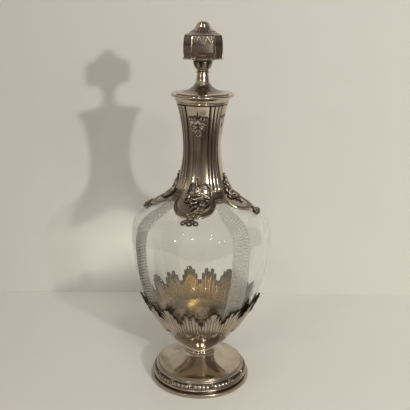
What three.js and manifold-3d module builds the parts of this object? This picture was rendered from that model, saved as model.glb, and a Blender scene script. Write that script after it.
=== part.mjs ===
// A glass carafe in silver mounts, in millimetres. The axis is +Z, the foot stands on Z = 0 and the front
// lappet faces -Y. Angles run from the front towards +X.
import * as THREE from 'three';
import { mergeVertices } from 'three/addons/utils/BufferGeometryUtils.js';
import Module from 'manifold-3d';

const wasm = await Module();
wasm.setup();

const degrees = Math.PI / 180;

// Clearances and walls.
const gap = 0.3;
const silverWall = 1.0;
const mountFit = 0.3;
const reliefStandoff = 0.7;
const glassWall = 3.0;
const cementLayer = 0.8;
const edgeRound = 0.8;
const threadEnd = 2;

// Foot.
const footRadius = 42.4;
const flangeHeight = 3.4;
const flangeWidth = 8.0;
const borderRadius = 40.7;
const borderHeight = 10.4;
const stepRadius = 35.9;
const stepHeight = 14.1;
const stepSkirt = 6;
const domeTop = 24.8;
const collarRadius = 14.1;

// Calyx bowl and body of the carafe.
const bowlFloorRadius = 13.8;
const bowlFloor = 31.2;
const crownBase = 46;
const bowlEdgeRise = 9;
const drawInHeight = 8;
const crownTip = 82;
const bellyRadius = 57;
const bellyHeight = 130;
const shoulderRadius = 41.2;
const shoulderRise = 24;
const seamRadius = 20.4;
const seamRise = 15.6;
const neckRadius = 13.6;
const neckRise = 38.4;
const mouthRadius = 15.6;
const mouthRise = 35.6;
const lipRound = 0.8;
const bandWidth = 16.6;
const bandTopAngle = 11.5 * degrees;
const boreRun = 2;
const glassFloor = 38;
const glassBase = 7.5;

// Neck mount.
const sleeveDrop = 5.6;
const sleeveFlare = 3.6;
const flareLead = 8;
const reedHeight = 0.6;
const reedCount = 3;
const reedPitch = 10 * degrees;
const lappetCount = 4;
const archRadius = 27;
const lappetHalfAngle = 36 * degrees;
const edgeBorder = 2.8;
const edgeRelief = 0.35;
const edgeLip = 0.5;
const rimRadius = 25.15;
const rimRise = 1.4;
const rimRoll = 0.95;

// Crown of leaves.
const leafCount = 16;
const leafThickness = 0.8;
const leafStandoff = 0.6;
const leafRibs = 0.45;
const crownTurn = 1.5 * degrees;

// Ornaments on the lappets.
const cartoucheRise = 12.8;
const cartoucheHalfWidth = 12.2;
const cartoucheStem = 1.7;
const medallionHalfWidth = 3.1;
const lappetTip = 6;
const reliefHeight = 1.5;
const pendantHalfWidth = 6.2;
const pendantLength = 6.6;
const pendantThickness = 1.5;

// Fixing of the foot.
const studRadius = 3.0;
const studHeadRadius = 7.0;
const studHead = 1.6;
const nutWidth = 10.0;
const nutHeight = 5.0;
const washerRadius = 7.5;
const washerThickness = 1.0;

// Stopper.
const corkTopRadius = 11.2;
const corkBottomRadius = 10.2;
const corkDrop = 0.4;
const corkLength = 26.2;
const rodRadius = 2.0;
const flangeDiscRadius = 20.8;
const flangeDiscHeight = 7.6;
const stemRadius = 4.8;
const stemHeight = 9.6;
const finialBowlRadius = 7.9;
const finialBowlHeight = 8.2;
const finialHalfWidth = 15.0;
const finialFace = 9.1;
const finialHeight = 17.8;
const finialRib = 0.35;
const knobRadius = 6.0;
const knobHeight = 10.3;
const stopperTurn = 11.5 * degrees;
const corkNutHeight = 3.0;
const corkNutWidth = 7.0;

// Heights that follow from the sizes above.
const shoulderHeight = bellyHeight + shoulderRise;
const seamHeight = shoulderHeight + seamRise;
const neckHeight = seamHeight + neckRise;
const mouthHeight = neckHeight + mouthRise;
const sleeveTop = mouthHeight - sleeveDrop;
const rimTop = mouthHeight + rimRise;
const corkTop = mouthHeight - corkDrop;
const corkBottom = corkTop - corkLength;

// Finishes.
const silver = new THREE.MeshStandardMaterial({ color: 0x9a9184, roughness: 0.28, metalness: 1 });
const darkSilver = new THREE.MeshStandardMaterial({ color: 0x6e6559, roughness: 0.4, metalness: 1 });
const glass = new THREE.MeshStandardMaterial({
  color: 0xd6dcd8, roughness: 0.06, metalness: 0, transparent: true, opacity: 0.35, side: THREE.DoubleSide,
});
const rosin = new THREE.MeshStandardMaterial({ color: 0x8c5c1f, roughness: 0.4, metalness: 0 });
const cork = new THREE.MeshStandardMaterial({ color: 0xb08a5c, roughness: 0.9, metalness: 0 });
const brass = new THREE.MeshStandardMaterial({ color: 0xb5914e, roughness: 0.4, metalness: 1 });

const part = new THREE.Group();
const stopper = new THREE.Group();
stopper.rotation.z = stopperTurn;
part.add(stopper);

function add(name, geometry, material, group = part) {
  const mesh = new THREE.Mesh(geometry, material);
  mesh.name = name;
  group.add(mesh);
}

function around(radius, angle, height) {
  return new THREE.Vector3(radius * Math.sin(angle), -radius * Math.cos(angle), height);
}

const { lerp } = THREE.MathUtils;

function between(low, high, shares) {
  return shares.map((share) => lerp(low, high, share));
}

// Outline points given as shares of a width and a height from a corner.
function moulding(radius, height, width, rise, shares) {
  return shares.map(([across, up]) => [radius + across * width, height + up * rise]);
}

// Solid turned about the axis from a closed outline of [radius, height] points, outer side going up.
function turned(outline, segments = 28) {
  const points = outline.map(([radius, height]) => new THREE.Vector2(radius, height));
  if (outline[0][0] > 0) points.push(points[0].clone());
  const geometry = new THREE.LatheGeometry(points, segments);
  geometry.rotateX(Math.PI / 2);
  return geometry;
}

// Points of an arc from one angle to another, for use inside an outline.
function arc(centreRadius, centreHeight, radius, from, to, steps) {
  return Array.from({ length: steps + 1 }, (_, i) => {
    const angle = (from + ((to - from) * i) / steps) * degrees;
    return [centreRadius + radius * Math.cos(angle), centreHeight + radius * Math.sin(angle)];
  });
}

// Geometry from points and triangles.
function solid(points, triangles) {
  const geometry = new THREE.BufferGeometry().setFromPoints(points);
  geometry.setIndex(triangles);
  geometry.computeVertexNormals();
  return geometry;
}

// Side faces between rings of equally many points, each ring counter-clockwise and the next one above it.
function sides(rings, looped) {
  const count = rings[0].length;
  const triangles = [];
  const last = looped ? rings.length : rings.length - 1;
  for (let ring = 0; ring < last; ring += 1) {
    const next = (ring + 1) % rings.length;
    for (let i = 0; i < count; i += 1) {
      const j = (i + 1) % count;
      const [a, b] = [ring * count + i, ring * count + j];
      const [c, d] = [next * count + j, next * count + i];
      triangles.push(a, b, c, a, c, d);
    }
  }
  return triangles;
}

// Hollow solid whose rings go up its outside and down its inside.
function loopedSolid(rings) {
  return solid(rings.flat(), sides(rings, true));
}

// Solid whose first and last rings are closed by a point on the axis.
function cappedSolid(rings, firstHeight, lastHeight) {
  const points = rings.flat();
  const triangles = sides(rings, false);
  const count = rings[0].length;
  const start = points.length;
  const lastRing = (rings.length - 1) * count;
  points.push(new THREE.Vector3(0, 0, firstHeight), new THREE.Vector3(0, 0, lastHeight));
  for (let i = 0; i < count; i += 1) {
    const j = (i + 1) % count;
    triangles.push(start, j, i, start + 1, lastRing + i, lastRing + j);
  }
  return solid(points, triangles);
}

// Thick sheet between an outer and an inner grid of points, rows going up and columns running with the angle.
function sheetSolid(outer, inner) {
  const columns = outer[0].length;
  const rings = outer.map((row, r) => [...row, ...inner[r].slice().reverse()]);
  const triangles = sides(rings, false);
  const count = 2 * columns;
  const top = (rings.length - 1) * count;
  for (let i = 0; i < columns - 1; i += 1) {
    const [a, b] = [i, i + 1];
    const [c, d] = [count - 2 - i, count - 1 - i];
    triangles.push(a, c, b, a, d, c);
    triangles.push(top + a, top + b, top + c, top + a, top + c, top + d);
  }
  return solid(rings.flat(), triangles);
}

function manifold(geometry) {
  const bare = geometry.clone();
  bare.deleteAttribute('normal');
  bare.deleteAttribute('uv');
  const merged = mergeVertices(bare, 1e-4);
  const mesh = new wasm.Mesh({
    numProp: 3,
    vertProperties: new Float32Array(merged.attributes.position.array),
    triVerts: new Uint32Array(merged.index.array),
  });
  return new wasm.Manifold(mesh);
}

function fromManifold(shape) {
  const mesh = shape.getMesh();
  const geometry = new THREE.BufferGeometry();
  geometry.setAttribute('position', new THREE.BufferAttribute(new Float32Array(mesh.vertProperties), 3));
  geometry.setIndex(new THREE.BufferAttribute(new Uint32Array(mesh.triVerts), 1));
  geometry.computeVertexNormals();
  return geometry;
}

// Outer line of bowl, glass belly, shoulder and neck, as radius and height, sampled at even steps.
const bodyCurve = new THREE.SplineCurve(
  [
    [bowlFloorRadius, bowlFloor],
    [lerp(bowlFloorRadius, bellyRadius, 0.171), lerp(bowlFloor, crownBase, 0.32)],
    [lerp(bowlFloorRadius, bellyRadius, 0.292), lerp(bowlFloor, crownBase, 0.72)],
    [lerp(bowlFloorRadius, bellyRadius, 0.449), lerp(crownBase, crownTip, 0.194)],
    [lerp(bowlFloorRadius, bellyRadius, 0.576), lerp(crownBase, crownTip, 0.444)],
    [lerp(bowlFloorRadius, bellyRadius, 0.708), lerp(crownBase, crownTip, 0.733)],
    [lerp(bowlFloorRadius, bellyRadius, 0.808), crownTip],
    [lerp(bowlFloorRadius, bellyRadius, 0.931), lerp(crownTip, bellyHeight, 0.375)],
    [lerp(bowlFloorRadius, bellyRadius, 0.986), lerp(crownTip, bellyHeight, 0.75)],
    [lerp(shoulderRadius, bellyRadius, 0.994), lerp(bellyHeight, shoulderHeight, 0.125)],
    [lerp(shoulderRadius, bellyRadius, 0.848), lerp(bellyHeight, shoulderHeight, 0.558)],
    [lerp(shoulderRadius, bellyRadius, 0.481), lerp(bellyHeight, shoulderHeight, 0.825)],
    [shoulderRadius, shoulderHeight],
    [lerp(seamRadius, shoulderRadius, 0.601), lerp(shoulderHeight, seamHeight, 0.256)],
    [lerp(seamRadius, shoulderRadius, 0.173), lerp(shoulderHeight, seamHeight, 0.641)],
    [seamRadius, seamHeight],
    [lerp(neckRadius, seamRadius, 0.471), lerp(seamHeight, neckHeight, 0.245)],
    [lerp(neckRadius, seamRadius, 0.074), lerp(seamHeight, neckHeight, 0.635)],
    [neckRadius, neckHeight],
    [lerp(neckRadius, mouthRadius, 0.3), lerp(neckHeight, mouthHeight, 0.551)],
    [mouthRadius, mouthHeight],
  ].map(([radius, height]) => new THREE.Vector2(radius, height)),
);
const bodyLength = bodyCurve.getLength();
const bodySteps = 600;
const bodyLine = bodyCurve.getSpacedPoints(bodySteps);
const bodyStep = bodyLength / bodySteps;

// Place, in steps along the body line, where its height or its shoulder radius reaches a value.
function placeAtHeight(height) {
  const i = Math.max(1, bodyLine.findIndex((point) => point.y >= height));
  const [below, above] = [bodyLine[i - 1], bodyLine[i]];
  return i - 1 + (height - below.y) / (above.y - below.y);
}

const bellyPlace = placeAtHeight(bellyHeight);

function placeAtRadius(radius) {
  const i = bodyLine.findIndex((point, index) => index > bellyPlace && point.x <= radius);
  const [below, above] = [bodyLine[i - 1], bodyLine[i]];
  return i - 1 + (below.x - radius) / (below.x - above.x);
}

// Point of the body line at a place, moved square to the line by an outward offset.
function bodyPoint(place, offset = 0) {
  const i = Math.min(bodySteps - 1, Math.max(0, Math.floor(place)));
  const share = place - i;
  const [from, to] = [bodyLine[i], bodyLine[i + 1]];
  const direction = to.clone().sub(from).normalize();
  const point = from.clone().lerp(to, share);
  return [point.x + direction.y * offset, point.y - direction.x * offset];
}

const seamPlace = placeAtHeight(seamHeight);

// Offset of the neck mount's outer face from the glass: close on the shoulder, flaring towards the mouth.
function mountOffset(place) {
  const height = bodyPoint(place)[1];
  const flareBase = neckHeight - flareLead;
  const rise = Math.max(0, (height - flareBase) / (sleeveTop - flareBase));
  return gap + silverWall + mountFit + sleeveFlare * rise * rise;
}

function mountPoint(place, offset = 0) {
  return bodyPoint(place, mountOffset(place) + offset);
}

// Glass body, round but for four flat bands between the lappets. Without a band width the angles are even.
const panelSteps = 6;
const evenAngle = (45 / (panelSteps + 1)) * degrees;

function glassAngles(bandAngle) {
  const panel = 90 * degrees - 2 * bandAngle;
  const angles = [];
  for (let quarter = 0; quarter < 4; quarter += 1) {
    const centre = (90 * quarter - 45) * degrees;
    angles.push(centre - bandAngle);
    for (let i = 0; i < panelSteps; i += 1) {
      angles.push(centre + bandAngle + (panel * i) / panelSteps);
    }
  }
  return angles;
}

function bandAngleAt(radius) {
  return Math.min(bandTopAngle, Math.asin(bandWidth / 2 / radius));
}

const bowlEdge = crownBase + bowlEdgeRise;
const bedding = silverWall + cementLayer + 2 * gap;
const beddingHeights = between(glassFloor, bowlEdge, [0.03, 0.24, 0.59]);
const glassFloorRadius = bowlFloorRadius + glassWall;
const neckRows = [
  ...between(seamHeight, neckHeight, [0.17, 0.43, 0.79]),
  lerp(neckHeight, sleeveTop, 0.46),
];

// The glass draws in inside the bowl by the thickness of the silver and the bedding.
function glassInset(height) {
  const share = Math.min(1, Math.max(0, 0.75 + (bowlEdge - height) / drawInHeight));
  return bedding * share * share * (3 - 2 * share);
}

function boreRadius(height) {
  const share = (height - corkBottom) / (corkTop - corkBottom);
  return corkBottomRadius + (corkTopRadius - corkBottomRadius) * share + gap;
}

function glassBody() {
  const outerHeights = [
    ...between(bowlEdge, crownTip, [0.04, 0.33, 0.7]),
    ...between(crownTip, bellyHeight, [0.12, 0.54, 0.96]),
    ...between(bellyHeight, shoulderHeight, [0.33, 0.58, 0.75, 0.9]),
    ...between(shoulderHeight, seamHeight, [0.06, 0.32]),
  ];
  const bedded = beddingHeights.map((height) => bodyPoint(placeAtHeight(height), -bedding));
  const outer = outerHeights.map((height) => bodyPoint(placeAtHeight(height), -glassInset(height)));
  const neckBase = between(shoulderHeight, seamHeight, [0.61, 0.9]);
  const neckHeights = [...neckBase, ...neckRows, mouthHeight - lipRound];
  const neck = neckHeights.map((height) => bodyPoint(placeAtHeight(height)));
  const bore = [mouthHeight, corkBottom - boreRun].map((height) => [boreRadius(height), height]);
  const innerHeights = [
    ...between(neckHeight, seamHeight, [0.3, 0.78]),
    ...between(seamHeight, shoulderHeight, [0.3, 0.87]),
    ...between(shoulderHeight, bellyHeight, [0.2, 0.75]),
    lerp(bellyHeight, crownTip, 0.46),
    ...between(crownTip, bowlEdge, [0.07, 0.74]),
  ];
  const inner = innerHeights.map(
    (height) => bodyPoint(placeAtHeight(height), -glassWall - glassInset(height)),
  );
  const cavityFloor = glassFloor + glassBase;
  const ringsOf = (rows, bandAngle) => rows.map(
    ([radius, height]) => glassAngles(bandAngle(radius)).map((angle) => around(radius, angle, height)),
  );
  const cavity = [
    ...bore,
    ...inner,
    ...moulding(0, cavityFloor, glassFloorRadius, glassBase, [[1.42, 0.8], [1, 0.08]]),
  ];
  const rings = [
    ...ringsOf([[glassFloorRadius, glassFloor], ...bedded], () => evenAngle),
    ...ringsOf(outer, bandAngleAt),
    ...ringsOf([...neck, [mouthRadius - lipRound, mouthHeight], ...cavity], () => evenAngle),
  ];
  return cappedSolid(rings, glassFloor, cavityFloor);
}

add('glass_body', glassBody(), glass);

// Foot: base ring, ornamental border, flared dome and the collar under the bowl.
function footFlange() {
  return turned([
    [footRadius - flangeWidth, 0],
    [footRadius - edgeRound, 0],
    [footRadius, edgeRound],
    [footRadius, flangeHeight - edgeRound],
    [footRadius - edgeRound, flangeHeight],
    [footRadius - flangeWidth, flangeHeight],
  ]);
}

function footBorder() {
  const base = flangeHeight + gap;
  const inner = stepRadius + gap;
  return turned(moulding(inner, base, borderRadius - inner, borderHeight, [
    [0.78, 0],
    [0.78, 0.1],
    [1, 0.15],
    [1, 0.33],
    [0.8, 0.6],
    [0.33, 0.87],
    [0.11, 1],
    [0, 0.98],
    [0, 0],
  ]));
}

// Height of the dome's outer face: a hollow curve from the collar down to the step.
function domeHeight(radius) {
  const share = (stepRadius - radius) / (stepRadius - collarRadius);
  return lerp(stepHeight + 0.5 * edgeRound, domeTop - edgeRound, share ** 1.9);
}

const domeRadii = [1, 0.76, 0.5, 0.26, 0.08].map(
  (share) => collarRadius + (stepRadius - collarRadius) * share,
);
const studHole = studRadius + gap;

function footDome() {
  const outer = domeRadii.map((radius) => [radius, domeHeight(radius)]);
  const inner = domeRadii.slice(2).map((radius) => [radius, domeHeight(radius) - silverWall]);
  return turned([
    [stepRadius - silverWall, stepHeight - stepSkirt],
    [stepRadius, stepHeight - stepSkirt],
    ...outer,
    [collarRadius - gap, domeTop],
    [studHole, domeTop],
    [studHole, domeTop - silverWall],
    [collarRadius - silverWall, domeTop - silverWall],
    ...inner.reverse(),
    [stepRadius - silverWall, stepHeight - silverWall],
  ]);
}

function stemCollar() {
  const base = domeTop + gap;
  const top = bowlFloor - gap;
  const waist = collarRadius - 2 * edgeRound;
  return turned([
    [studHole, base],
    [collarRadius - 0.6 * edgeRound, base],
    ...arc(collarRadius - edgeRound, base + 1.1 * edgeRound, edgeRound, -60, 60, 2),
    [waist, base + 2.5 * edgeRound],
    [waist, top - 2.4 * edgeRound],
    ...arc(collarRadius - 1.5 * edgeRound, top - 1.5 * edgeRound, 0.6 * edgeRound, -60, 60, 2),
    [waist + gap, top],
    [studHole, top],
  ], 24);
}

add('foot_flange', footFlange(), silver);
add('foot_border', footBorder(), silver);
add('foot_dome', footDome(), silver);
add('stem_collar', stemCollar(), silver);

// Calyx bowl, whose rim lies behind the leaves, and the bedding that holds the glass in it.
function calyxBowl() {
  const heights = [...between(bowlFloor, glassFloor, [0.27, 0.63]), ...beddingHeights, bowlEdge];
  const outer = heights.map((height) => bodyPoint(placeAtHeight(height)));
  const inner = heights.slice(2).map((height) => bodyPoint(placeAtHeight(height), -silverWall));
  return turned([
    [studHole, bowlFloor],
    [bowlFloorRadius, bowlFloor],
    ...outer,
    ...inner.reverse(),
    [bowlFloorRadius + 0.5 * silverWall, bowlFloor + silverWall],
    [studHole, bowlFloor + silverWall],
  ]);
}

const beddingOffset = -silverWall - gap;

function calyxCement() {
  const top = glassFloor - gap;
  const outer = beddingHeights.map((height) => bodyPoint(placeAtHeight(height), beddingOffset));
  const innerOffset = beddingOffset - cementLayer;
  const inner = beddingHeights.map((height) => bodyPoint(placeAtHeight(height), innerOffset));
  const studRecess = studHeadRadius + gap;
  const headTop = bowlFloor + silverWall + studHead + 2 * gap;
  return turned([
    [0, headTop + gap],
    [studRecess, headTop + gap],
    [studRecess, bowlFloor + silverWall + gap],
    [bowlFloorRadius + 0.7 * gap, bowlFloor + silverWall + gap],
    ...outer,
    ...inner.reverse(),
    [glassFloorRadius + 0.7 * gap, top],
    [0, top],
  ]);
}

add('calyx_bowl', calyxBowl(), silver);
add('calyx_cement', calyxCement(), rosin);

// Stud with its head in the bowl, drawn down by a washer and a nut under the dome.
const studTop = bowlFloor + silverWall + gap + studHead;
const washerTop = domeTop - silverWall - gap;
const nutTop = washerTop - washerThickness - gap;
const studBottom = nutTop - nutHeight - threadEnd;

function ring(outerRadius, innerRadius, bottom, top, segments) {
  return turned([
    [innerRadius, bottom],
    [outerRadius, bottom],
    [outerRadius, top],
    [innerRadius, top],
  ], segments);
}

function hexagonNut(width, hole, bottom, height) {
  const shape = new THREE.Shape();
  const corner = width / Math.sqrt(3);
  for (let i = 0; i < 6; i += 1) {
    const [x, y] = [corner * Math.cos(i * 60 * degrees), corner * Math.sin(i * 60 * degrees)];
    if (i === 0) shape.moveTo(x, y);
    else shape.lineTo(x, y);
  }
  shape.closePath();
  const bore = new THREE.Path();
  bore.absarc(0, 0, hole, 0, 2 * Math.PI, true);
  shape.holes.push(bore);
  const geometry = new THREE.ExtrudeGeometry(shape, { depth: height, bevelEnabled: false, curveSegments: 8 });
  geometry.translate(0, 0, bottom);
  return geometry;
}

function footStud() {
  return turned([
    [0, studBottom],
    [studRadius, studBottom],
    [studRadius, studTop - studHead],
    [studHeadRadius, studTop - studHead],
    [studHeadRadius, studTop],
    [0, studTop],
  ], 16);
}

add('foot_stud', footStud(), brass);
add('foot_washer', ring(washerRadius, studHole, washerTop - washerThickness, washerTop, 16), brass);
add('foot_nut', hexagonNut(nutWidth, studHole, nutTop - nutHeight, nutHeight), brass);

// One leaf of the crown: a fan of gadrooned lobes, narrow where it rises from the bowl and full at its
// shoulders.
const leafPitch = (360 / leafCount) * degrees;
const leafShoulder = lerp(crownBase, crownTip, 0.5);

function leafHalfAngle(height) {
  const share = Math.min(1, (height - crownBase) / (leafShoulder - crownBase));
  const clearance = (0.5 * gap) / (0.75 * bellyRadius);
  return leafPitch * (0.26 + 0.24 * Math.sin(share * 90 * degrees)) - clearance;
}

// Crests across a leaf: a tall leaf has one in the middle, a paired leaf has one each side of it.
function leafCrest(across, tall) {
  return Math.abs(tall ? Math.cos(2 * Math.PI * across) : Math.sin(2 * Math.PI * across));
}

function leafTip(across, tall) {
  const dome = tall ? 1 - 0.75 * Math.abs(across) ** 1.1 : 0.86 - 0.5 * Math.abs(across) ** 1.6;
  const foot = lerp(crownBase, crownTip, 0.61);
  return foot + (crownTip - foot) * dome * (0.74 + 0.26 * leafCrest(across, tall));
}

function crownLeaf(turn, tall) {
  const [rows, columns] = [4, 8];
  const faces = [leafThickness, 0].map((thickness) => {
    const grid = [];
    for (let row = 0; row < rows; row += 1) {
      const line = [];
      for (let column = 0; column <= columns; column += 1) {
        const across = (2 * column) / columns - 1;
        const height = crownBase + (leafTip(across, tall) - crownBase) * (row / (rows - 1));
        const rib = thickness && row ? leafRibs * leafCrest(across, tall) : 0;
        const [radius, z] = bodyPoint(placeAtHeight(height), leafStandoff + thickness + rib);
        line.push(around(radius, turn + across * leafHalfAngle(height), z));
      }
      grid.push(line);
    }
    return grid;
  });
  return sheetSolid(faces[0], faces[1]);
}

for (let i = 0; i < leafCount; i += 1) {
  const name = `crown_leaf_${String(i + 1).padStart(2, '0')}`;
  add(name, crownLeaf(crownTurn + i * leafPitch, i % 2 === 1), silver);
}

// Neck sleeve: four smooth panels over the lappets and a group of reeds at each corner.
function sleeveAngles() {
  const groupHalf = (reedCount * reedPitch) / 2;
  const [reedSteps, faceSteps] = [3, 5];
  const angles = [];
  for (let quarter = 0; quarter < lappetCount; quarter += 1) {
    const start = (360 / lappetCount) * degrees * (quarter - 0.5) - groupHalf;
    for (let i = 0; i < reedCount * reedSteps; i += 1) {
      const lift = Math.sin(((i % reedSteps) / reedSteps) * Math.PI) ** 0.7;
      angles.push([start + (i * reedPitch) / reedSteps, lift]);
    }
    const panel = (360 / lappetCount) * degrees - 2 * groupHalf;
    for (let i = 0; i < faceSteps; i += 1) {
      angles.push([start + 2 * groupHalf + (panel * i) / faceSteps, 0]);
    }
  }
  return angles;
}

function neckSleeve() {
  const angles = sleeveAngles();
  const heights = [...neckRows, sleeveTop];
  const ringAt = (place, offset, lift) => angles.map(([angle, reed]) => {
    const [radius, z] = mountPoint(place, offset);
    return around(radius + lift * reed, angle, z);
  });
  const outer = [ringAt(seamPlace + gap / bodyStep, 0, 0.3 * reedHeight)];
  heights.forEach((height) => outer.push(ringAt(placeAtHeight(height), 0, reedHeight)));
  const inner = [...heights].reverse().map((height) => ringAt(placeAtHeight(height), -silverWall, 0));
  inner.push(ringAt(seamPlace + gap / bodyStep, -silverWall, 0));
  return loopedSolid([...outer, ...inner]);
}

// Skirt: follows the shoulder and ends in four lappets, with a raised border along its edge.
function edgeRadius(angle) {
  const pitch = (360 / lappetCount) * degrees;
  const fromLappet = Math.abs(angle - pitch * Math.round(angle / pitch));
  const share = Math.min(1, fromLappet / lappetHalfAngle);
  return archRadius + (shoulderRadius - archRadius) * (1 - share ** 2.4);
}

function shoulderSkirt() {
  const columns = 36;
  const row = (share, fromEdge, offset) => Array.from({ length: columns }, (_, i) => {
    const angle = (i * 360 * degrees) / columns;
    const edge = placeAtRadius(edgeRadius(angle));
    const place = edge + (seamPlace - edge) * share + fromEdge / bodyStep;
    const [radius, z] = mountPoint(place, offset);
    return around(radius, angle, z);
  });
  return loopedSolid([
    row(0, 0, 0.5 * edgeRelief),
    row(0, edgeLip, edgeRelief),
    row(0, edgeBorder, edgeRelief),
    row(0, edgeBorder + edgeLip, 0),
    row(0.45, 0, 0),
    row(0.72, 0, 0),
    row(1, 0, 0),
    row(1, 0, -silverWall),
    row(0.6, 0, -silverWall),
    row(0, 0, -silverWall),
  ]);
}

// Rim collar: mouldings at the top of the sleeve, a rolled edge and the seat for the stopper.
const rimSeat = mouthHeight + gap;
const rimBore = boreRadius(mouthHeight) + 2 * gap;

function rimCollar() {
  const base = sleeveTop + gap;
  const sleeveRadius = mountPoint(placeAtHeight(sleeveTop))[0];
  const glassClear = mouthRadius + 2 * gap;
  return turned([
    [rimBore, rimSeat],
    [glassClear, rimSeat],
    [glassClear, base],
    ...moulding(sleeveRadius, base, rimRadius - sleeveRadius, rimTop - base, [
      [0.11, 0],
      [0.2, 0.12],
      [0.09, 0.25],
      [0.45, 0.51],
      [0.79, 0.75],
    ]),
    ...arc(rimRadius - rimRoll, rimTop - 0.4 * rimRoll, rimRoll, -60, 100, 2),
    [rimRadius - 2.7 * rimRoll, rimTop],
    [rimBore, rimTop],
  ]);
}

// Bedding between the sleeve and the glass at the flared top of the neck.
function neckCement() {
  const heights = [neckRows[3], lerp(neckRows[3], sleeveTop, 0.5), sleeveTop - gap];
  const outer = heights.map((height) => mountPoint(placeAtHeight(height), -silverWall - gap));
  const inner = heights.map((height) => bodyPoint(placeAtHeight(height), 2 * gap));
  return turned([...outer, ...inner.reverse()], 24);
}

add('neck_sleeve', neckSleeve(), silver);
add('shoulder_skirt', shoulderSkirt(), darkSilver);
add('rim_collar', rimCollar(), silver);
add('neck_cement', neckCement(), rosin);

// Cartouche: two beads, an oval medallion between scrolled wings and a fluted shell, on the slope of the
// lappet.
const cartoucheTopPlace = placeAtHeight(seamHeight + cartoucheRise);
const cartoucheBottomPlace = placeAtRadius(shoulderRadius - lappetTip);

function cartoucheHalf(share) {
  if (share > 0.8) return cartoucheStem * (1 + 0.24 * Math.sin((share - 0.8) * 60));
  const wing = Math.sin(Math.min(1, share / 0.8) * Math.PI) ** 0.8;
  return cartoucheStem + (cartoucheHalfWidth - cartoucheStem) * wing * (0.72 + 0.28 * Math.sin(share * 14));
}

function cartoucheRelief(across, share) {
  const medallion = Math.hypot(across / medallionHalfWidth, (share - 0.62) / 0.15);
  const boss = Math.max(0, 1 - medallion ** 2);
  const flutes = share < 0.45 ? 0.3 * Math.cos((6 * across) / medallionHalfWidth) : 0;
  const wings = 0.5 * Math.abs(Math.sin((1.7 * across) / medallionHalfWidth + share * 6));
  return reliefHeight * (0.45 + 0.55 * boss + 0.35 * flutes + 0.3 * wings * (boss > 0 ? 0 : 1));
}

function cartouche(turn) {
  const [rows, columns] = [9, 6];
  const faces = [1, 0].map((raised) => {
    const grid = [];
    for (let row = 0; row < rows; row += 1) {
      const share = row / (rows - 1);
      const place = cartoucheBottomPlace + (cartoucheTopPlace - cartoucheBottomPlace) * share;
      const half = cartoucheHalf(share);
      const line = [];
      for (let column = 0; column <= columns; column += 1) {
        const across = half * ((2 * column) / columns - 1);
        const ground = mountPoint(place, reliefStandoff)[0];
        const [radius, z] = mountPoint(place, reliefStandoff + raised * cartoucheRelief(across, share));
        line.push(around(radius, turn + across / ground, z));
      }
      grid.push(line);
    }
    return grid;
  });
  return sheetSolid(faces[0], faces[1]);
}

// Pendant: a short stem under the lappet's tip and a bow of three small bells.
function pendant(turn) {
  const top = placeAtRadius(shoulderRadius) - gap / bodyStep;
  const stations = [
    [0, 0.74],
    [0.3, 1],
    [0.5, 0.94],
    [0.62, 0.39],
    [0.75, 0.19],
    [1, 0.26],
  ];
  const columns = 4;
  const faces = [1, 0].map((raised) => stations.map(([share, width]) => {
    const half = width * pendantHalfWidth;
    const place = top - ((1 - share) * pendantLength) / bodyStep;
    return Array.from({ length: columns + 1 }, (_, column) => {
      const across = half * ((2 * column) / columns - 1);
      const bell = share === 0 && column % 2 === 0 ? 0.1 * pendantHalfWidth : 0;
      const [radius, z] = bodyPoint(place + bell / bodyStep, 2 * gap + raised * pendantThickness);
      return around(radius, turn + across / radius, z);
    });
  }));
  return sheetSolid(faces[0], faces[1]);
}

for (let i = 0; i < lappetCount; i += 1) {
  const turn = (i * 360 * degrees) / lappetCount;
  add(`cartouche_${i + 1}`, cartouche(turn), silver);
  add(`pendant_${i + 1}`, pendant(turn), darkSilver);
}

// Stopper: a tapered cork on a rod that also draws the flange, stem, bowl, body and knob together.
const rodHole = rodRadius + gap;
const flangeBase = rimTop + gap;
const stemBase = flangeBase + flangeDiscHeight + gap;
const finialBowlBase = stemBase + stemHeight + gap;
const finialBase = finialBowlBase + finialBowlHeight + gap;
const knobBase = finialBase + finialHeight + gap;
const corkWasherTop = corkBottom - gap;
const corkNutTop = corkWasherTop - washerThickness - gap;
const rodBottom = corkNutTop - corkNutHeight - 0.5 * threadEnd;

function corkPlug() {
  return turned([
    [rodHole, corkBottom],
    [corkBottomRadius, corkBottom],
    [corkTopRadius, corkTop],
    [rodHole, corkTop],
  ], 24);
}

function stopperFlange() {
  const top = flangeBase + flangeDiscHeight;
  return turned([
    [rodHole, flangeBase],
    ...moulding(stemRadius, flangeBase, flangeDiscRadius - stemRadius, flangeDiscHeight, [
      [0.975, 0],
      [1, 0.07],
      [0.96, 0.14],
      [0.71, 0.2],
      [0.46, 0.38],
      [0.24, 0.68],
      [0.08, 1],
    ]),
    [rodHole, top],
  ]);
}

function stopperStem() {
  const top = stemBase + stemHeight;
  return turned([
    [rodHole, stemBase],
    ...moulding(0, stemBase, stemRadius, stemHeight, [
      [1.21, 0],
      [1.06, 0.31],
      [1, 0.62],
      [0.92, 0.81],
    ]),
    ...arc(0.96 * stemRadius, top - 0.19 * stemRadius, 0.15 * stemRadius, -70, 70, 2),
    [0.81 * stemRadius, top],
    [rodHole, top],
  ], 20);
}

function finialBowl() {
  const top = finialBowlBase + finialBowlHeight;
  return turned([
    [rodHole, finialBowlBase],
    ...moulding(0, finialBowlBase, finialBowlRadius, finialBowlHeight, [
      [0.51, 0],
      [0.66, 0.27],
      [0.85, 0.59],
      [1, 0.93],
      [0.96, 1],
    ]),
    [rodHole, top],
  ], 20);
}

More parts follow.
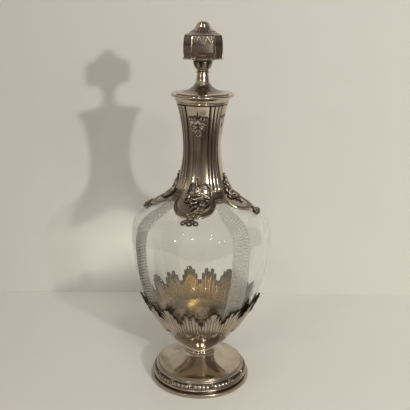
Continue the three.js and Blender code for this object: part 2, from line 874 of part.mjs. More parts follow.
// Outline of the finial: a square with cut corners, its eight edges standing a little proud.
function finialOutline(halfWidth) {
  const face = (finialFace / finialHalfWidth) * halfWidth;
  const corners = [[-face, -halfWidth], [face, -halfWidth]];
  const bulge = 0.03 * halfWidth;
  const centre = new THREE.Vector2();
  const points = [];
  for (let quarter = 0; quarter < 4; quarter += 1) {
    const turn = quarter * 90 * degrees;
    const next = turn + 90 * degrees;
    const [left, right] = corners.map(([x, y]) => new THREE.Vector2(x, y).rotateAround(centre, turn));
    const after = new THREE.Vector2(-face, -halfWidth).rotateAround(centre, next);
    [[left, right, bulge], [right, after, 0.6 * bulge]].forEach(([from, to, swell]) => {
      const out = from.clone().add(to).normalize();
      points.push(from.clone().setLength(from.length() + finialRib));
      [0.2, 0.8].forEach((share) => {
        points.push(from.clone().lerp(to, share).addScaledVector(out, swell * 4 * share * (1 - share)));
      });
    });
  }
  return points;
}

function circleOutline(radius, count) {
  return Array.from({ length: count }, (_, i) => {
    const angle = ((i + 0.5) * 360 * degrees) / count - 35 * degrees;
    return new THREE.Vector2(radius * Math.sin(angle), -radius * Math.cos(angle));
  });
}

const outlinePoints = finialOutline(finialHalfWidth).length;

function level(outline, height) {
  return outline.map((point) => new THREE.Vector3(point.x, point.y, height));
}

const finialTaper = 0.907;

function finialBody() {
  const stations = [
    [0, 0.967],
    [0.05, 0.993],
    [0.1, 0.96],
    [0.3, 1],
    [0.62, 0.973],
    [1, finialTaper],
  ];
  const outer = stations.map(
    ([share, width]) => level(finialOutline(width * finialHalfWidth), finialBase + share * finialHeight),
  );
  const hole = circleOutline(rodHole, outlinePoints);
  const bore = [finialBase + finialHeight, finialBase].map((z) => level(hole, z));
  return loopedSolid([...outer, ...bore]);
}

// Roof of the finial, hollow-curved from the cut-corner outline up to a round knob, with a blind hole for
// the rod.
const rodSocketTop = knobBase + 0.35 * knobHeight;

function finialKnob() {
  const roof = finialTaper * finialHalfWidth;
  const rings = [
    level(finialOutline(roof), knobBase),
    level(finialOutline(0.96 * roof), knobBase + 0.06 * knobHeight),
  ];
  [[0.15, 0.66, 0.35], [0.3, 0.5, 0.7]].forEach(([rise, width, round]) => {
    const square = finialOutline(roof * width);
    const circle = circleOutline(knobRadius * (1.5 - 0.5 * round), outlinePoints);
    const blend = square.map((point, i) => point.clone().lerp(circle[i], round));
    rings.push(level(blend, knobBase + rise * knobHeight));
  });
  [[0.52, 1], [0.8, 0.8], [0.95, 0.42]].forEach(([rise, width]) => {
    rings.push(level(circleOutline(knobRadius * width, outlinePoints), knobBase + rise * knobHeight));
  });
  const hole = [rodSocketTop, knobBase].map((z) => level(circleOutline(rodHole, outlinePoints), z));
  const outside = cappedSolid(rings, knobBase, knobBase + knobHeight);
  const drillBase = knobBase - silverWall;
  const drillEnd = hole[1].map((point) => point.clone().setZ(drillBase));
  const drill = cappedSolid([drillEnd, hole[0]], drillBase, rodSocketTop);
  return fromManifold(manifold(outside).subtract(manifold(drill)));
}

function stopperRod() {
  const top = rodSocketTop - gap;
  return turned([
    [0, rodBottom],
    [rodRadius, rodBottom],
    [rodRadius, top],
    [0, top],
  ], 12);
}

const corkWasherRadius = 0.7 * corkBottomRadius;
const corkWasherBase = corkWasherTop - washerThickness;
const corkNutBase = corkNutTop - corkNutHeight;

add('stopper_cork', corkPlug(), cork, stopper);
add('stopper_flange', stopperFlange(), silver, stopper);
add('stopper_stem', stopperStem(), silver, stopper);
add('finial_bowl', finialBowl(), silver, stopper);
add('finial_body', finialBody(), silver, stopper);
add('finial_knob', finialKnob(), silver, stopper);
add('stopper_rod', stopperRod(), brass, stopper);
add('cork_washer', ring(corkWasherRadius, rodHole, corkWasherBase, corkWasherTop, 16), brass, stopper);
add('cork_nut', hexagonNut(corkNutWidth, rodHole, corkNutBase, corkNutHeight), brass, stopper);

export default part;
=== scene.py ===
import math

import bpy
import numpy as np
from bpy.props import FloatProperty, FloatVectorProperty, IntProperty, PointerProperty
from mathutils import Matrix, Vector


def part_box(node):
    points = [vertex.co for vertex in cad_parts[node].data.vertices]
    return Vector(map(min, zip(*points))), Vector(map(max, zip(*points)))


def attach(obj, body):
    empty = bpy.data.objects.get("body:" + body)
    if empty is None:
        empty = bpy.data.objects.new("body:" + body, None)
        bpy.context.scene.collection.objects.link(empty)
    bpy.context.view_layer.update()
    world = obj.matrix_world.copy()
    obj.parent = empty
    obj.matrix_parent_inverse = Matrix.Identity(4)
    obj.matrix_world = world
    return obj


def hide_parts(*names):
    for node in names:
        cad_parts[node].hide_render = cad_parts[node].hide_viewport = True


bl_info = {
    "name": "Silver-mounted Carafe",
    "version": (1, 0, 0),
    "blender": (4, 5, 0),
    "location": "3D View > Sidebar > Carafe",
    "description": "Dresses the carafe's frame with glass, chased silver and a studio stage",
    "category": "Add Mesh",
}

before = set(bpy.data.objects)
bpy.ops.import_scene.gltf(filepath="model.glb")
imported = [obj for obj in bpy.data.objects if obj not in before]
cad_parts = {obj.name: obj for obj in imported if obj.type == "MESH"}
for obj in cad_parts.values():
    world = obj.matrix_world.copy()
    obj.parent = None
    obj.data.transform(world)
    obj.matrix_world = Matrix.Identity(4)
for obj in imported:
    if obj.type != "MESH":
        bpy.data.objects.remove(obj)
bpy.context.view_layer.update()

# Lengths in this file are millimetres until a mesh is made; angles run from the front lappet towards +X.
MM = 0.001
DEG = math.pi / 180

BODY = "carafe"
TOP = "stopper_top"

# Outer line of bowl, belly, shoulder and neck, as radius and height.
BODY_POINTS = (
    (13.8, 31.2), (21.2, 35.94), (26.4, 41.86), (33.2, 53), (38.7, 62), (44.4, 72.4), (48.7, 82), (54, 100),
    (56.4, 118), (56.9, 133), (54.6, 143.4), (48.8, 149.8), (41.2, 154), (32.9, 158), (24, 164), (20.4, 169.6),
    (16.8, 179), (14.1, 194), (13.6, 208), (14.2, 227.6), (15.6, 243.6),
)
SEAM_HEIGHT = 169.6
NECK_HEIGHT = 208
SLEEVE_TOP = 238
MOUTH_HEIGHT = 243.6
QUARTER = 90 * DEG

# Radii of the holes for the foot's stud and for the stopper's rod.
STUD_HOLE = 3.4
ROD_HOLE = 2.4


def millimetres(node):
    """Lowest and highest corner of a node of the frame, in millimetres."""
    low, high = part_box(node)
    return low / MM, high / MM


def levels(node):
    """Lowest and highest level of a node of the frame, in millimetres."""
    low, high = millimetres(node)
    return low.z, high.z


def curve_through(points, steps):
    """Smooth curve through all the points, with that many steps between each two."""
    p = np.asarray(points, float)
    last = len(p) - 1
    t = np.linspace(0, last, last * steps + 1)
    i = np.minimum(t.astype(int), last - 1)
    w = (t - i)[:, None]
    before, start, end, after = p[np.maximum(i - 1, 0)], p[i], p[i + 1], p[np.minimum(i + 2, last)]
    out, into = (end - before) / 2, (after - start) / 2
    cubic = 2 * start - 2 * end + out + into
    square = -3 * start + 3 * end - 2 * out - into
    return ((cubic * w + square) * w + out) * w + start


def arc(radius, height, size, first, last, steps=6):
    """Points of an arc in the outline's plane, angles in degrees."""
    angle = np.linspace(first, last, steps + 1) * DEG
    return np.stack([radius + size * np.cos(angle), height + size * np.sin(angle)], -1)


def run_along(line):
    """Length along a line up to each of its points."""
    return np.concatenate([[0], np.cumsum(np.linalg.norm(np.diff(line, axis=0), axis=1))])


# The body line in small steps, with its length up to each, its direction, and its widest and thinnest place.
body_line = curve_through(BODY_POINTS, 60)
body_run = run_along(body_line)
body_slope = np.gradient(body_line, body_run, axis=0)
body_slope /= np.linalg.norm(body_slope, axis=1)[:, None]
belly_index = int(np.argmax(body_line[:, 0]))
waist_index = int(np.argmin(np.where(np.arange(len(body_line)) > belly_index, body_line[:, 0], 1e9)))


def run_at_height(height):
    """Length along the body line up to a height."""
    return np.interp(height, body_line[:, 1], body_run)


def run_at_radius(radius):
    """Length along the body line up to the place on the shoulder with that radius."""
    part = slice(belly_index, waist_index + 1)
    return np.interp(-np.asarray(radius, float), -body_line[part, 0], body_run[part])


def body_at(run, offset=0.0):
    """Radius and height on the body line, moved outwards by an offset."""
    radius, height = (np.interp(run, body_run, body_line[:, k]) for k in (0, 1))
    along, rise = (np.interp(run, body_run, body_slope[:, k]) for k in (0, 1))
    return radius + rise * offset, height - along * offset


# Outer face of the neck mount off the body line, its inner face off the outer one, and its flare at the top.
MOUNT_OFFSET = 1.6
MOUNT_BACK = -1.0
SLEEVE_FLARE = 3.6
FLARE_START = NECK_HEIGHT - 8


def mount_at(run, offset=0.0):
    """Radius and height on the outer face of the neck mount."""
    height = body_at(run)[1]
    rise = np.clip((height - FLARE_START) / (SLEEVE_TOP - FLARE_START), 0, None)
    return body_at(run, MOUNT_OFFSET + SLEEVE_FLARE * rise**2 + offset)


def polar(radius, angle, height):
    """Points at a radius, an angle and a height."""
    radius, angle, height = np.broadcast_arrays(radius, angle, height)
    return np.stack([radius * np.sin(angle), -radius * np.cos(angle), height], -1)


def even(count):
    """Angles of a full turn in equal steps."""
    return np.arange(count) * 2 * math.pi / count


def from_lappet(angle):
    """Angle from the middle of the nearest lappet and sleeve panel."""
    return (angle + QUARTER / 2) % QUARTER - QUARTER / 2


def smooth(t):
    """Soft step from 0 to 1."""
    t = np.clip(t, 0, 1)
    return t * t * (3 - 2 * t)


def dome(t):
    """Round crest over -1 to 1, nothing outside."""
    return np.sqrt(np.clip(1 - np.asarray(t, float) ** 2, 0, 1))


def quads(rows, columns, close_rows):
    """Faces of a grid of points that runs all the way round along its rows, and also across them if closed."""
    row, column = np.meshgrid(np.arange(rows if close_rows else rows - 1), np.arange(columns), indexing="ij")
    row_after, column_after = (row + 1) % rows, (column + 1) % columns
    corners = [
        row * columns + column,
        row * columns + column_after,
        row_after * columns + column_after,
        row_after * columns + column,
    ]
    return np.stack(corners, -1).reshape(-1, 4)


def axis_fans(rows, columns):
    """Triangles that close both ends of a grid of points, to two more points on the axis."""
    start, top = rows * columns, (rows - 1) * columns
    faces = []
    for i in range(columns):
        j = (i + 1) % columns
        faces += [[start, j, i], [start + 1, top + i, top + j]]
    return faces


def make_piece(name, points, faces, materials, hollow_and_shade=None, face_material=None, uv=None, crease=38):
    """Object from points in millimetres, with a darkening value from 0 to 1 for each point: patina in the
    relief's recesses, and painted shade.
    """
    mesh = bpy.data.meshes.new(name)
    mesh.from_pydata((np.reshape(points, (-1, 3)) * MM).tolist(), [], [list(face) for face in faces])
    mesh.polygons.foreach_set("use_smooth", np.ones(len(mesh.polygons), bool))
    mesh.set_sharp_from_angle(angle=crease * DEG)
    depth = np.zeros(len(mesh.vertices)) if hollow_and_shade is None else np.clip(np.ravel(hollow_and_shade), 0, 1)
    mesh.attributes.new("hollow_and_shade", "FLOAT", "POINT").data.foreach_set("value", depth.astype(np.float32))
    if uv is not None:
        corner_vertex = np.zeros(len(mesh.loops), int)
        mesh.loops.foreach_get("vertex_index", corner_vertex)
        layer = mesh.uv_layers.new(name="band")
        layer.data.foreach_set("uv", np.reshape(uv, (-1, 2))[corner_vertex].ravel())
    for material in materials:
        mesh.materials.append(material)
    if face_material is not None:
        mesh.polygons.foreach_set("material_index", face_material)
    mesh.update()
    piece = bpy.data.objects.new(name, mesh)
    bpy.context.scene.collection.objects.link(piece)
    return piece


def dress(piece, body, slot, *nodes):
    """Puts a piece on its body and hides the frame's nodes that it stands for; slot is not used."""
    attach(piece, body)
    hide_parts(*nodes)


def turned(name, outline, material, segments, hollow_and_shade=0.0):
    """Piece turned from a closed outline of radius and height, with a darkening value for each of its points,
    for patina and painted shade.
    """
    outline = np.asarray(outline, float)
    points = polar(outline[:, :1], even(segments)[None, :], outline[:, 1:])
    hollow_and_shade_per_point = np.repeat(np.broadcast_to(hollow_and_shade, len(outline)), segments)
    return make_piece(name, points, quads(len(outline), segments, True), [material], hollow_and_shade_per_point)


def ring_shell(name, outer, inner, material, hollow_and_shade):
    """Closed shell round the axis: outer rows going up with their darkening values for patina and painted shade,
    inner rows going down.
    """
    grid = np.concatenate([outer, inner])
    rows, columns = grid.shape[:2]
    depth = np.zeros((rows, columns))
    depth[:len(outer)] = hollow_and_shade
    return make_piece(name, grid, quads(rows, columns, True), [material], depth)


def leaf_shell(name, outer, inner, materials, hollow_and_shade, behind):
    """Closed shell of a sheet: two grids with rows going up, joined at their edges, with darkening values for
    patina and painted shade on the front and on the back.
    """
    rows, columns = outer.shape[:2]
    grid = np.concatenate([outer, inner[:, ::-1]], axis=1)
    depth = np.concatenate([hollow_and_shade, behind[:, ::-1]], axis=1)
    faces = quads(rows, 2 * columns, False)
    kind = np.tile((np.arange(2 * columns) >= columns).astype(int), rows - 1)
    caps = []
    for first, flip in ((0, True), ((rows - 1) * 2 * columns, False)):
        for i in range(columns - 1):
            cap = [first + i, first + i + 1, first + 2 * columns - 2 - i, first + 2 * columns - 1 - i]
            caps.append(cap[::-1] if flip else cap)
    kind = np.concatenate([kind, np.zeros(len(caps), int)])
    return make_piece(name, grid, faces.tolist() + caps, materials, depth, kind)


def stroke_height(x, s, strokes):
    """Height of the relief that rounded strokes raise at x, s; a stroke is (points, width, height)."""
    height = np.zeros_like(x)
    for points, width, lift in strokes:
        path = curve_through(points, 10) if len(points) > 2 else np.asarray(points, float)
        width = np.interp(np.linspace(0, 1, len(path)), np.linspace(0, 1, np.size(width)), np.atleast_1d(width))
        reach = width.max()
        low, high = path.min(0) - reach, path.max(0) + reach
        near = (x > low[0]) & (x < high[0]) & (s > low[1]) & (s < high[1])
        if not near.any():
            continue
        at = np.stack([x[near], s[near]], -1)
        raised = np.zeros(len(at))
        for start, end, from_width, to_width in zip(path, path[1:], width, width[1:]):
            step = end - start
            along = np.clip(((at - start) @ step) / max(1e-9, step @ step), 0, 1)
            away = np.linalg.norm(at - start - along[:, None] * step, axis=1)
            raised = np.maximum(raised, dome(away / (from_width + (to_width - from_width) * along)))
        height[near] = np.maximum(height[near], raised * lift)
    return height


def mirrored(strokes):
    """The strokes and their mirror images across x = 0."""
    other = [([(-x, s) for x, s in points], width, lift) for points, width, lift in strokes]
    return list(strokes) + other


def bead(x, s, size, lift):
    """Stroke of no length, a round bead."""
    return [(x, s), (x, s)], size, lift


# How far the back of a patch lies under the surface that carries it.
PATCH_SINK = 0.25


def relief_patch(name, place, strokes, box, cell, material, shade):
    """Ornament on a surface, without the cells that no stroke raises; place(x, s, offset) gives a point."""
    (x_low, s_low), (x_high, s_high) = box
    columns = int(round((x_high - x_low) / cell)) + 1
    rows = int(round((s_high - s_low) / cell)) + 1
    x, s = np.meshgrid(np.linspace(x_low, x_high, columns), np.linspace(s_low, s_high, rows))
    lift = stroke_height(x, s, strokes)
    kept = (lift[:-1, :-1] + lift[1:, :-1] + lift[:-1, 1:] + lift[1:, 1:]) > 1e-6
    top, bottom = place(x, s, lift), place(x, s, np.full_like(x, -PATCH_SINK))
    count = rows * columns
    row, column = np.nonzero(kept)
    a = row * columns + column
    cell_corners = np.stack([a, a + 1, a + columns + 1, a + columns], -1)
    faces = [cell_corners, cell_corners[:, ::-1] + count]
    padded = np.pad(kept, 1)
    for step_row, step_column, first, second in ((-1, 0, 0, 1), (0, 1, 1, 2), (1, 0, 2, 3), (0, -1, 3, 0)):
        edge = cell_corners[~padded[row + 1 + step_row, column + 1 + step_column]]
        left, right = edge[:, first], edge[:, second]
        faces.append(np.stack([right, left, left + count, right + count], -1))
    used, renamed = np.unique(np.concatenate(faces), return_inverse=True)
    points = np.concatenate([top.reshape(-1, 3), bottom.reshape(-1, 3)])[used]
    hollow_and_shade = np.concatenate([1 - lift.ravel() / lift.max(), np.ones(count)])[used]
    # Deeper points hold patina; shade adds painted shade over the whole patch.
    hollow_and_shade = shade + (0.95 - shade) * smooth(1.2 * hollow_and_shade)
    return make_piece(name, points, renamed.reshape(-1, 4), [material], hollow_and_shade, crease=60)


# Materials.

# Engraved bands, in millimetres: the waves along and across the band, and the line along each of its edges.
WAVE_PITCH = 2.5
WAVE_LENGTH = 5.4
WAVE_BEND = 2.1
WAVE_WANDER = 7.0
WAVE_EDGE = 6.4
EDGE_LINE = 7.3
EDGE_LINE_HALF = 0.4

# How much of a band's frost shows from the glass's inside.
INSIDE_SHARE = 0.16


class Nodes:
    """Fills a node tree: each method adds a node, sets or links its inputs, and gives one of its outputs."""

    def __init__(self, tree):
        self.tree = tree
        tree.nodes.clear()

    def fill(self, socket, value):
        """Links an output to an input, or sets the input's own value."""
        if isinstance(value, bpy.types.NodeSocket):
            self.tree.links.new(value, socket)
        else:
            socket.default_value = value

    def add(self, kind, *values, out=0, **settings):
        """Node with its properties and inputs by name, and further inputs in their order."""
        node = self.tree.nodes.new(kind)
        for key, value in settings.items():
            if hasattr(node, key):
                setattr(node, key, value)
            else:
                self.fill(node.inputs[key.replace("_", " ")], value)
        for socket, value in zip(node.inputs, values):
            self.fill(socket, value)
        return node.outputs[out] if node.outputs else None

    def math(self, operation, *values):
        """Sum, product or other operation on numbers and outputs."""
        return self.add("ShaderNodeMath", *values, operation=operation)

    def spread(self, value, source, target):
        """Maps one (from, to) range onto another and keeps within it."""
        (from_min, from_max), (to_min, to_max) = source, target
        return self.add("ShaderNodeMapRange", value, from_min, from_max, to_min, to_max)

    def ramp(self, value, *stops):
        """Colour ramp with (place, grey or colour) stops."""
        colour = self.add("ShaderNodeValToRGB", value)
        elements = colour.node.color_ramp.elements
        while len(elements) < len(stops):
            elements.new(0.5)
        for element, (place, tone) in zip(elements, stops):
            element.position = place
            element.color = (tone, tone, tone, 1) if np.isscalar(tone) else (*tone, 1)
        return colour

    def noise(self, place, scale, detail, roughness=0.5):
        """Clouds from 0 to 1."""
        return self.add("ShaderNodeTexNoise", Vector=place, Scale=scale, Detail=detail, Roughness=roughness)

    def place(self):
        """Place on the piece, in metres."""
        return self.add("ShaderNodeTexCoord", out="Object")


def polished_metal(build, bright, dark, roughness, spots=0.35, wave=0.00006):
    """Handmade metal: patina in soft clouds and at each point by its own darkening value, which is patina in the
    relief's recesses and painted shade elsewhere; fine scratches and a slightly uneven face.
    """
    place = build.place()
    clouds = build.ramp(build.noise(place, 55.0, 6.0, 0.6), (0.42, 0.0), (0.75, spots))
    # Each point's darkening value: patina in the relief's recesses, and painted shade where whole faces are
    # darkened.
    hollow_and_shade = build.add("ShaderNodeAttribute", out="Fac", attribute_name="hollow_and_shade")
    tarnish_and_shade = build.math("MAXIMUM", clouds, build.spread(hollow_and_shade, (0.15, 0.95), (0, 1)))
    bright, dark = (*bright, 1), (*dark, 1)
    colour = build.add("ShaderNodeMix", out="Result", data_type="RGBA", Factor=tarnish_and_shade, A=bright, B=dark)
    haze = build.spread(tarnish_and_shade, (0, 1), (roughness, roughness + 0.22))
    beaten = build.add("ShaderNodeBump", Strength=0.35, Distance=wave * 4, Height=build.noise(place, 90.0, 2.0))
    scratches = build.noise(place, 2600.0, 3.0)
    face = build.add("ShaderNodeBump", Strength=0.12, Distance=wave / 3, Height=scratches, Normal=beaten)
    return build.add("ShaderNodeBsdfPrincipled", Metallic=1.0, Base_Color=colour, Roughness=haze, Normal=face)


def engraving(build, band, wander):
    """Engraved lines from 0 to 1 on a band in millimetres: waves across it, and a line along each edge."""
    work = build.math
    axes = build.add("ShaderNodeSeparateXYZ", band).node.outputs
    across, along = axes["X"], axes["Y"]
    bend = work("MULTIPLY", work("COSINE", work("MULTIPLY", across, 2 * math.pi / WAVE_LENGTH)), WAVE_BEND)
    phase = work("ADD", work("MULTIPLY", along, 2 * math.pi / WAVE_PITCH), bend)
    phase = work("ADD", phase, work("MULTIPLY", wander, WAVE_WANDER))
    lines = work("MULTIPLY", work("ADD", work("SINE", phase), -0.05), 2.2)
    inside = work("LESS_THAN", work("ABSOLUTE", across), WAVE_EDGE)
    from_edge = work("ABSOLUTE", work("SUBTRACT", work("ABSOLUTE", across), EDGE_LINE))
    border = work("LESS_THAN", from_edge, EDGE_LINE_HALF)
    cut = work("ADD", work("MULTIPLY", lines, inside), border)
    return work("MINIMUM", work("MAXIMUM", cut, 0.0), 1.0)


def glass(build, tint, roughness, face):
    """Glass of a tint, with a face from a bump node."""
    return build.add("ShaderNodeBsdfPrincipled", IOR=1.5, Transmission_Weight=1.0, Base_Color=(*tint, 1),
                     Roughness=roughness, Normal=face)


def light_through(build, surface, tone):
    """The surface as it is seen, and a clear sheet of one tone to the light of the lamps."""
    from_lamp = build.add("ShaderNodeLightPath", out="Is Shadow Ray")
    sheet = build.add("ShaderNodeBsdfTransparent", Color=(*tone, 1))
    return build.add("ShaderNodeMixShader", from_lamp, surface, sheet)


def clear_glass(build, tint):
    """Clear blown glass with a slightly uneven face."""
    uneven = build.noise(build.place(), 28.0, 1.0)
    face = build.add("ShaderNodeBump", Strength=0.15, Distance=0.0002, Height=uneven)
    return light_through(build, glass(build, tint, 0.0, face), (0.93, 0.94, 0.93))


def engraved_glass(build, tint, roughness):
    """The glass's engraved bands: a frosted ground, fainter from inside, with waves and edge lines cut in."""
    band = build.add("ShaderNodeUVMap", uv_map="band")
    grain = build.noise(band, 0.35, 4.0)
    cut = engraving(build, band, grain)
    from_inside = build.add("ShaderNodeNewGeometry", out="Backfacing")
    strength = build.spread(from_inside, (0, 1), (1.0, INSIDE_SHARE))
    depth = build.math("ADD", cut, grain)
    face = build.add("ShaderNodeBump", Strength=strength, Distance=0.0001, Height=depth)
    frost = build.math("MULTIPLY", build.spread(cut, (0, 1), (0.35 * roughness, roughness)), strength)
    powder_colour = build.ramp(cut, (0.0, (0.39, 0.37, 0.33)), (1.0, (0.25, 0.235, 0.205)))
    powder = build.add("ShaderNodeBsdfDiffuse", Color=powder_colour)
    veil = build.math("MULTIPLY", build.spread(cut, (0, 1), (0.46, 0.56)), strength)
    surface = build.add("ShaderNodeMixShader", veil, glass(build, tint, frost, face), powder)
    return light_through(build, surface, (0.8, 0.82, 0.8))


def grained(build, light, dark, scale, roughness, stretch=(1, 1, 1)):
    """Matt natural stuff with flecks, such as cork or rosin."""
    stretched = build.add("ShaderNodeMapping", Vector=build.place(), Scale=stretch)
    grain = build.noise(stretched, scale, 8.0, 0.7)
    colour = build.ramp(grain, (0.35, dark), (0.6, light))
    face = build.add("ShaderNodeBump", Strength=0.4, Distance=0.0002, Height=grain)
    return build.add("ShaderNodeBsdfPrincipled", Base_Color=colour, Roughness=roughness, Normal=face)


def stage_paint(build, colour, roughness, one_sided=False):
    """Matt paint, faintly mottled, with painted light that makes it paler to the right; a one-sided sheet is
    looked through from behind.
    """
    place = build.place()
    # Painted light: the tone grows from left to right.
    across = build.spread(build.add("ShaderNodeSeparateXYZ", place), (-0.25, 0.25), (-0.1, 0.9))
    level = build.math("MULTIPLY_ADD", build.noise(place, 6.0, 2.0), 0.2, across)
    tone = build.ramp(level, (0.0, [0.93 * c for c in colour]), (1.0, [1.07 * c for c in colour]))
    surface = build.add("ShaderNodeBsdfPrincipled", Base_Color=tone, Roughness=roughness)
    if one_sided:
        behind = build.add("ShaderNodeNewGeometry", out="Backfacing")
        surface = build.add("ShaderNodeMixShader", behind, surface, build.add("ShaderNodeBsdfTransparent"))
    return surface


def shared(name, maker, **settings):
    """A material made once and then found by its name, which the frame's own materials don't have."""
    own_name = f"carafe_{name}"
    material = bpy.data.materials.get(own_name)
    if material is None:
        material = bpy.data.materials.new(own_name)
        material.use_nodes = True
        build = Nodes(material.node_tree)
        build.add("ShaderNodeOutputMaterial", Surface=maker(build, **settings))
    return material


def silver():
    """Polished silver of the plain mounts."""
    look = bpy.context.scene.carafe_silver
    return shared(
        "polished_silver", polished_metal, bright=look.bright, dark=look.tarnish_and_shade, roughness=look.roughness)


def chased_silver():
    """Silver of the ornament, a little duller than the plain mounts."""
    look = bpy.context.scene.carafe_silver
    bright, roughness = [0.92 * c for c in look.bright], look.roughness + 0.04
    return shared(
        "chased_silver", polished_metal, bright=bright, dark=look.tarnish_and_shade, roughness=roughness, spots=0.5)


def gilt():
    """Old gilding on the inside of the bowl and on the backs of the leaves."""
    bright = bpy.context.scene.carafe_silver.gilt
    return shared("gilt_lining", polished_metal, bright=bright, dark=(0.045, 0.031, 0.014), roughness=0.2,
                  spots=0.9, wave=0.0002)


def brass():
    """Plain brass of the fixings inside."""
    return shared(
        "turned_brass", polished_metal, bright=(0.71, 0.55, 0.28), dark=(0.32, 0.23, 0.11), roughness=0.3)


# Settings that a user would change.


class CarafeGlassSettings(bpy.types.PropertyGroup):
    """Glass body."""

    wall: FloatProperty(name="Wall", description="Thickness of the glass", default=0.003, unit="LENGTH")
    band_width: FloatProperty(
        name="Band width", description="Width of the engraved flat bands", default=0.0166, unit="LENGTH")
    tint: FloatVectorProperty(
        name="Tint", description="Colour of the glass", default=(0.985, 0.99, 0.98), subtype="COLOR")
    frost: FloatProperty(name="Frost", description="Roughness of the engraved bands", default=0.4, min=0, max=1)
    columns: IntProperty(name="Columns", description="Faces round the body", default=168, min=56)


class CarafeSilverSettings(bpy.types.PropertyGroup):
    """Silver mounts."""

    bright: FloatVectorProperty(
        name="Bright", description="Colour of the polished faces", default=(0.60, 0.52, 0.42), subtype="COLOR")
    # Colour of the patina in recesses, and of the painted shade on darkened faces.
    tarnish_and_shade: FloatVectorProperty(
        name="Tarnish", description="Colour of the hollows", default=(0.055, 0.042, 0.032), subtype="COLOR")
    gilt: FloatVectorProperty(
        name="Gilt", description="Colour of the gilt inside", default=(0.24, 0.14, 0.036), subtype="COLOR")
    roughness: FloatProperty(
        name="Roughness", description="Roughness of the polish", default=0.11, min=0, max=1)
    relief: FloatProperty(
        name="Relief", description="Height of the chased ornament", default=0.0006, unit="LENGTH")


class CarafeCrownSettings(bpy.types.PropertyGroup):
    """Crown of leaves round the glass."""

    leaf_count: IntProperty(name="Leaves", description="Number of leaves", default=16)
    turn: FloatProperty(
        name="Turn", description="Turn of the first leaf from the front", default=1.5 * DEG, subtype="ANGLE")
    base: FloatProperty(
        name="Base", description="Height of the leaves' lower end", default=0.046, unit="LENGTH")
    tip: FloatProperty(name="Tip", description="Height of the tallest lobe", default=0.082, unit="LENGTH")


class CarafeStageSettings(bpy.types.PropertyGroup):
    """Floor, wall, lights and camera."""

    floor: FloatVectorProperty(
        name="Floor", description="Colour of the floor", default=(0.71, 0.705, 0.665), subtype="COLOR")
    wall: FloatVectorProperty(
        name="Wall", description="Colour of the wall", default=(0.565, 0.56, 0.525), subtype="COLOR")
    azimuth: FloatProperty(
        name="Azimuth", description="Direction of the camera", default=11.5 * DEG, subtype="ANGLE")
    pitch: FloatProperty(
        name="Pitch", description="Downward tilt of the camera", default=16.46 * DEG, subtype="ANGLE")
    yaw: FloatProperty(
        name="Yaw", description="Turn of the camera off the axis", default=0.32 * DEG, subtype="ANGLE")
    roll: FloatProperty(name="Roll", description="Roll of the camera", default=0.68 * DEG, subtype="ANGLE")
    distance: FloatProperty(
        name="Distance", description="Level distance from axis to camera", default=0.5292, unit="LENGTH")
    height: FloatProperty(name="Height", description="Height of the camera", default=0.3107, unit="LENGTH")
    focal: FloatProperty(
        name="Focal length", description="Lens on a sensor 36 mm wide, in millimetres", default=59.1)
    wall_distance: FloatProperty(
        name="Wall distance", description="From the axis back to the wall", default=0.172, unit="LENGTH")


# Glass body.

# The glass sits this far inside the bowl, up to the bowl's edge.
BEDDING = 2.4
BOWL_EDGE = 55

# A band's half angle where the body is narrow, its columns of faces, and the heights between which it is flat.
BAND_TOP_ANGLE = 11.5 * DEG
BAND_COLUMNS = 6
FLAT_FROM, FLAT_TO = 42, 172
GLASS_FLOOR = 38
CAVITY_FLOOR = 45.5
CORK_BOTTOM = 217


def glass_inset(height):
    """How far the glass draws in where it sits in the bowl."""
    return BEDDING * smooth((BOWL_EDGE + 6 - height) / 8)


def glass_profile(wall):
    """Outline of the glass, from under its floor up to the lip and down inside, and its outer rows."""
    heights = np.concatenate([
        np.linspace(GLASS_FLOOR + 0.6, 60, 16),
        np.linspace(62, 136, 36),
        np.linspace(137.5, 172, 40),
        np.linspace(174, MOUTH_HEIGHT - 0.8, 30),
    ])
    radius, height = body_at(run_at_height(heights), -glass_inset(heights))
    inner_heights = np.linspace(CORK_BOTTOM - 2, 60, 96)
    inner_radius, inner_height = body_at(run_at_height(inner_heights), -wall - glass_inset(inner_heights))
    bore = [(11.5, MOUTH_HEIGHT - 0.2), (11.45, MOUTH_HEIGHT - 1.5), (10.45, CORK_BOTTOM)]
    cup = curve_through([(inner_radius[-1], inner_height[-1]), (28, 53.5), (16.8, CAVITY_FLOOR + 0.8),
                         (0, CAVITY_FLOOR)], 8)[1:-1]
    lip = [(radius[-1] - 0.15, MOUTH_HEIGHT - 0.25), (radius[-1] - 0.7, MOUTH_HEIGHT), (12.1, MOUTH_HEIGHT)]
    foot = [(8, GLASS_FLOOR), (16.2, GLASS_FLOOR), (17.6, GLASS_FLOOR + 0.3)]
    profile = np.concatenate([foot, np.stack([radius, height], -1), lip, bore,
                              np.stack([inner_radius, inner_height], -1), cup])
    return profile, range(len(foot), len(foot) + len(heights))


def glass_columns(band, columns):
    """Angles of the columns, their places across a band from -1 to 1, and which of them are a band's."""
    per_panel = columns // 4 - BAND_COLUMNS
    share, step = np.linspace(-1, 1, BAND_COLUMNS, endpoint=False), np.arange(per_panel) / per_panel
    angles, across, banded = [], [], []
    for quarter in range(4):
        centre = (90 * quarter - 45) * DEG
        angles += [centre + band * share, centre + band + (QUARTER - 2 * band) * step]
        across += [share, np.ones(per_panel)]
        banded += [True] * BAND_COLUMNS + [False] * per_panel
    return np.concatenate(angles, 1), np.concatenate(across), np.array(banded)


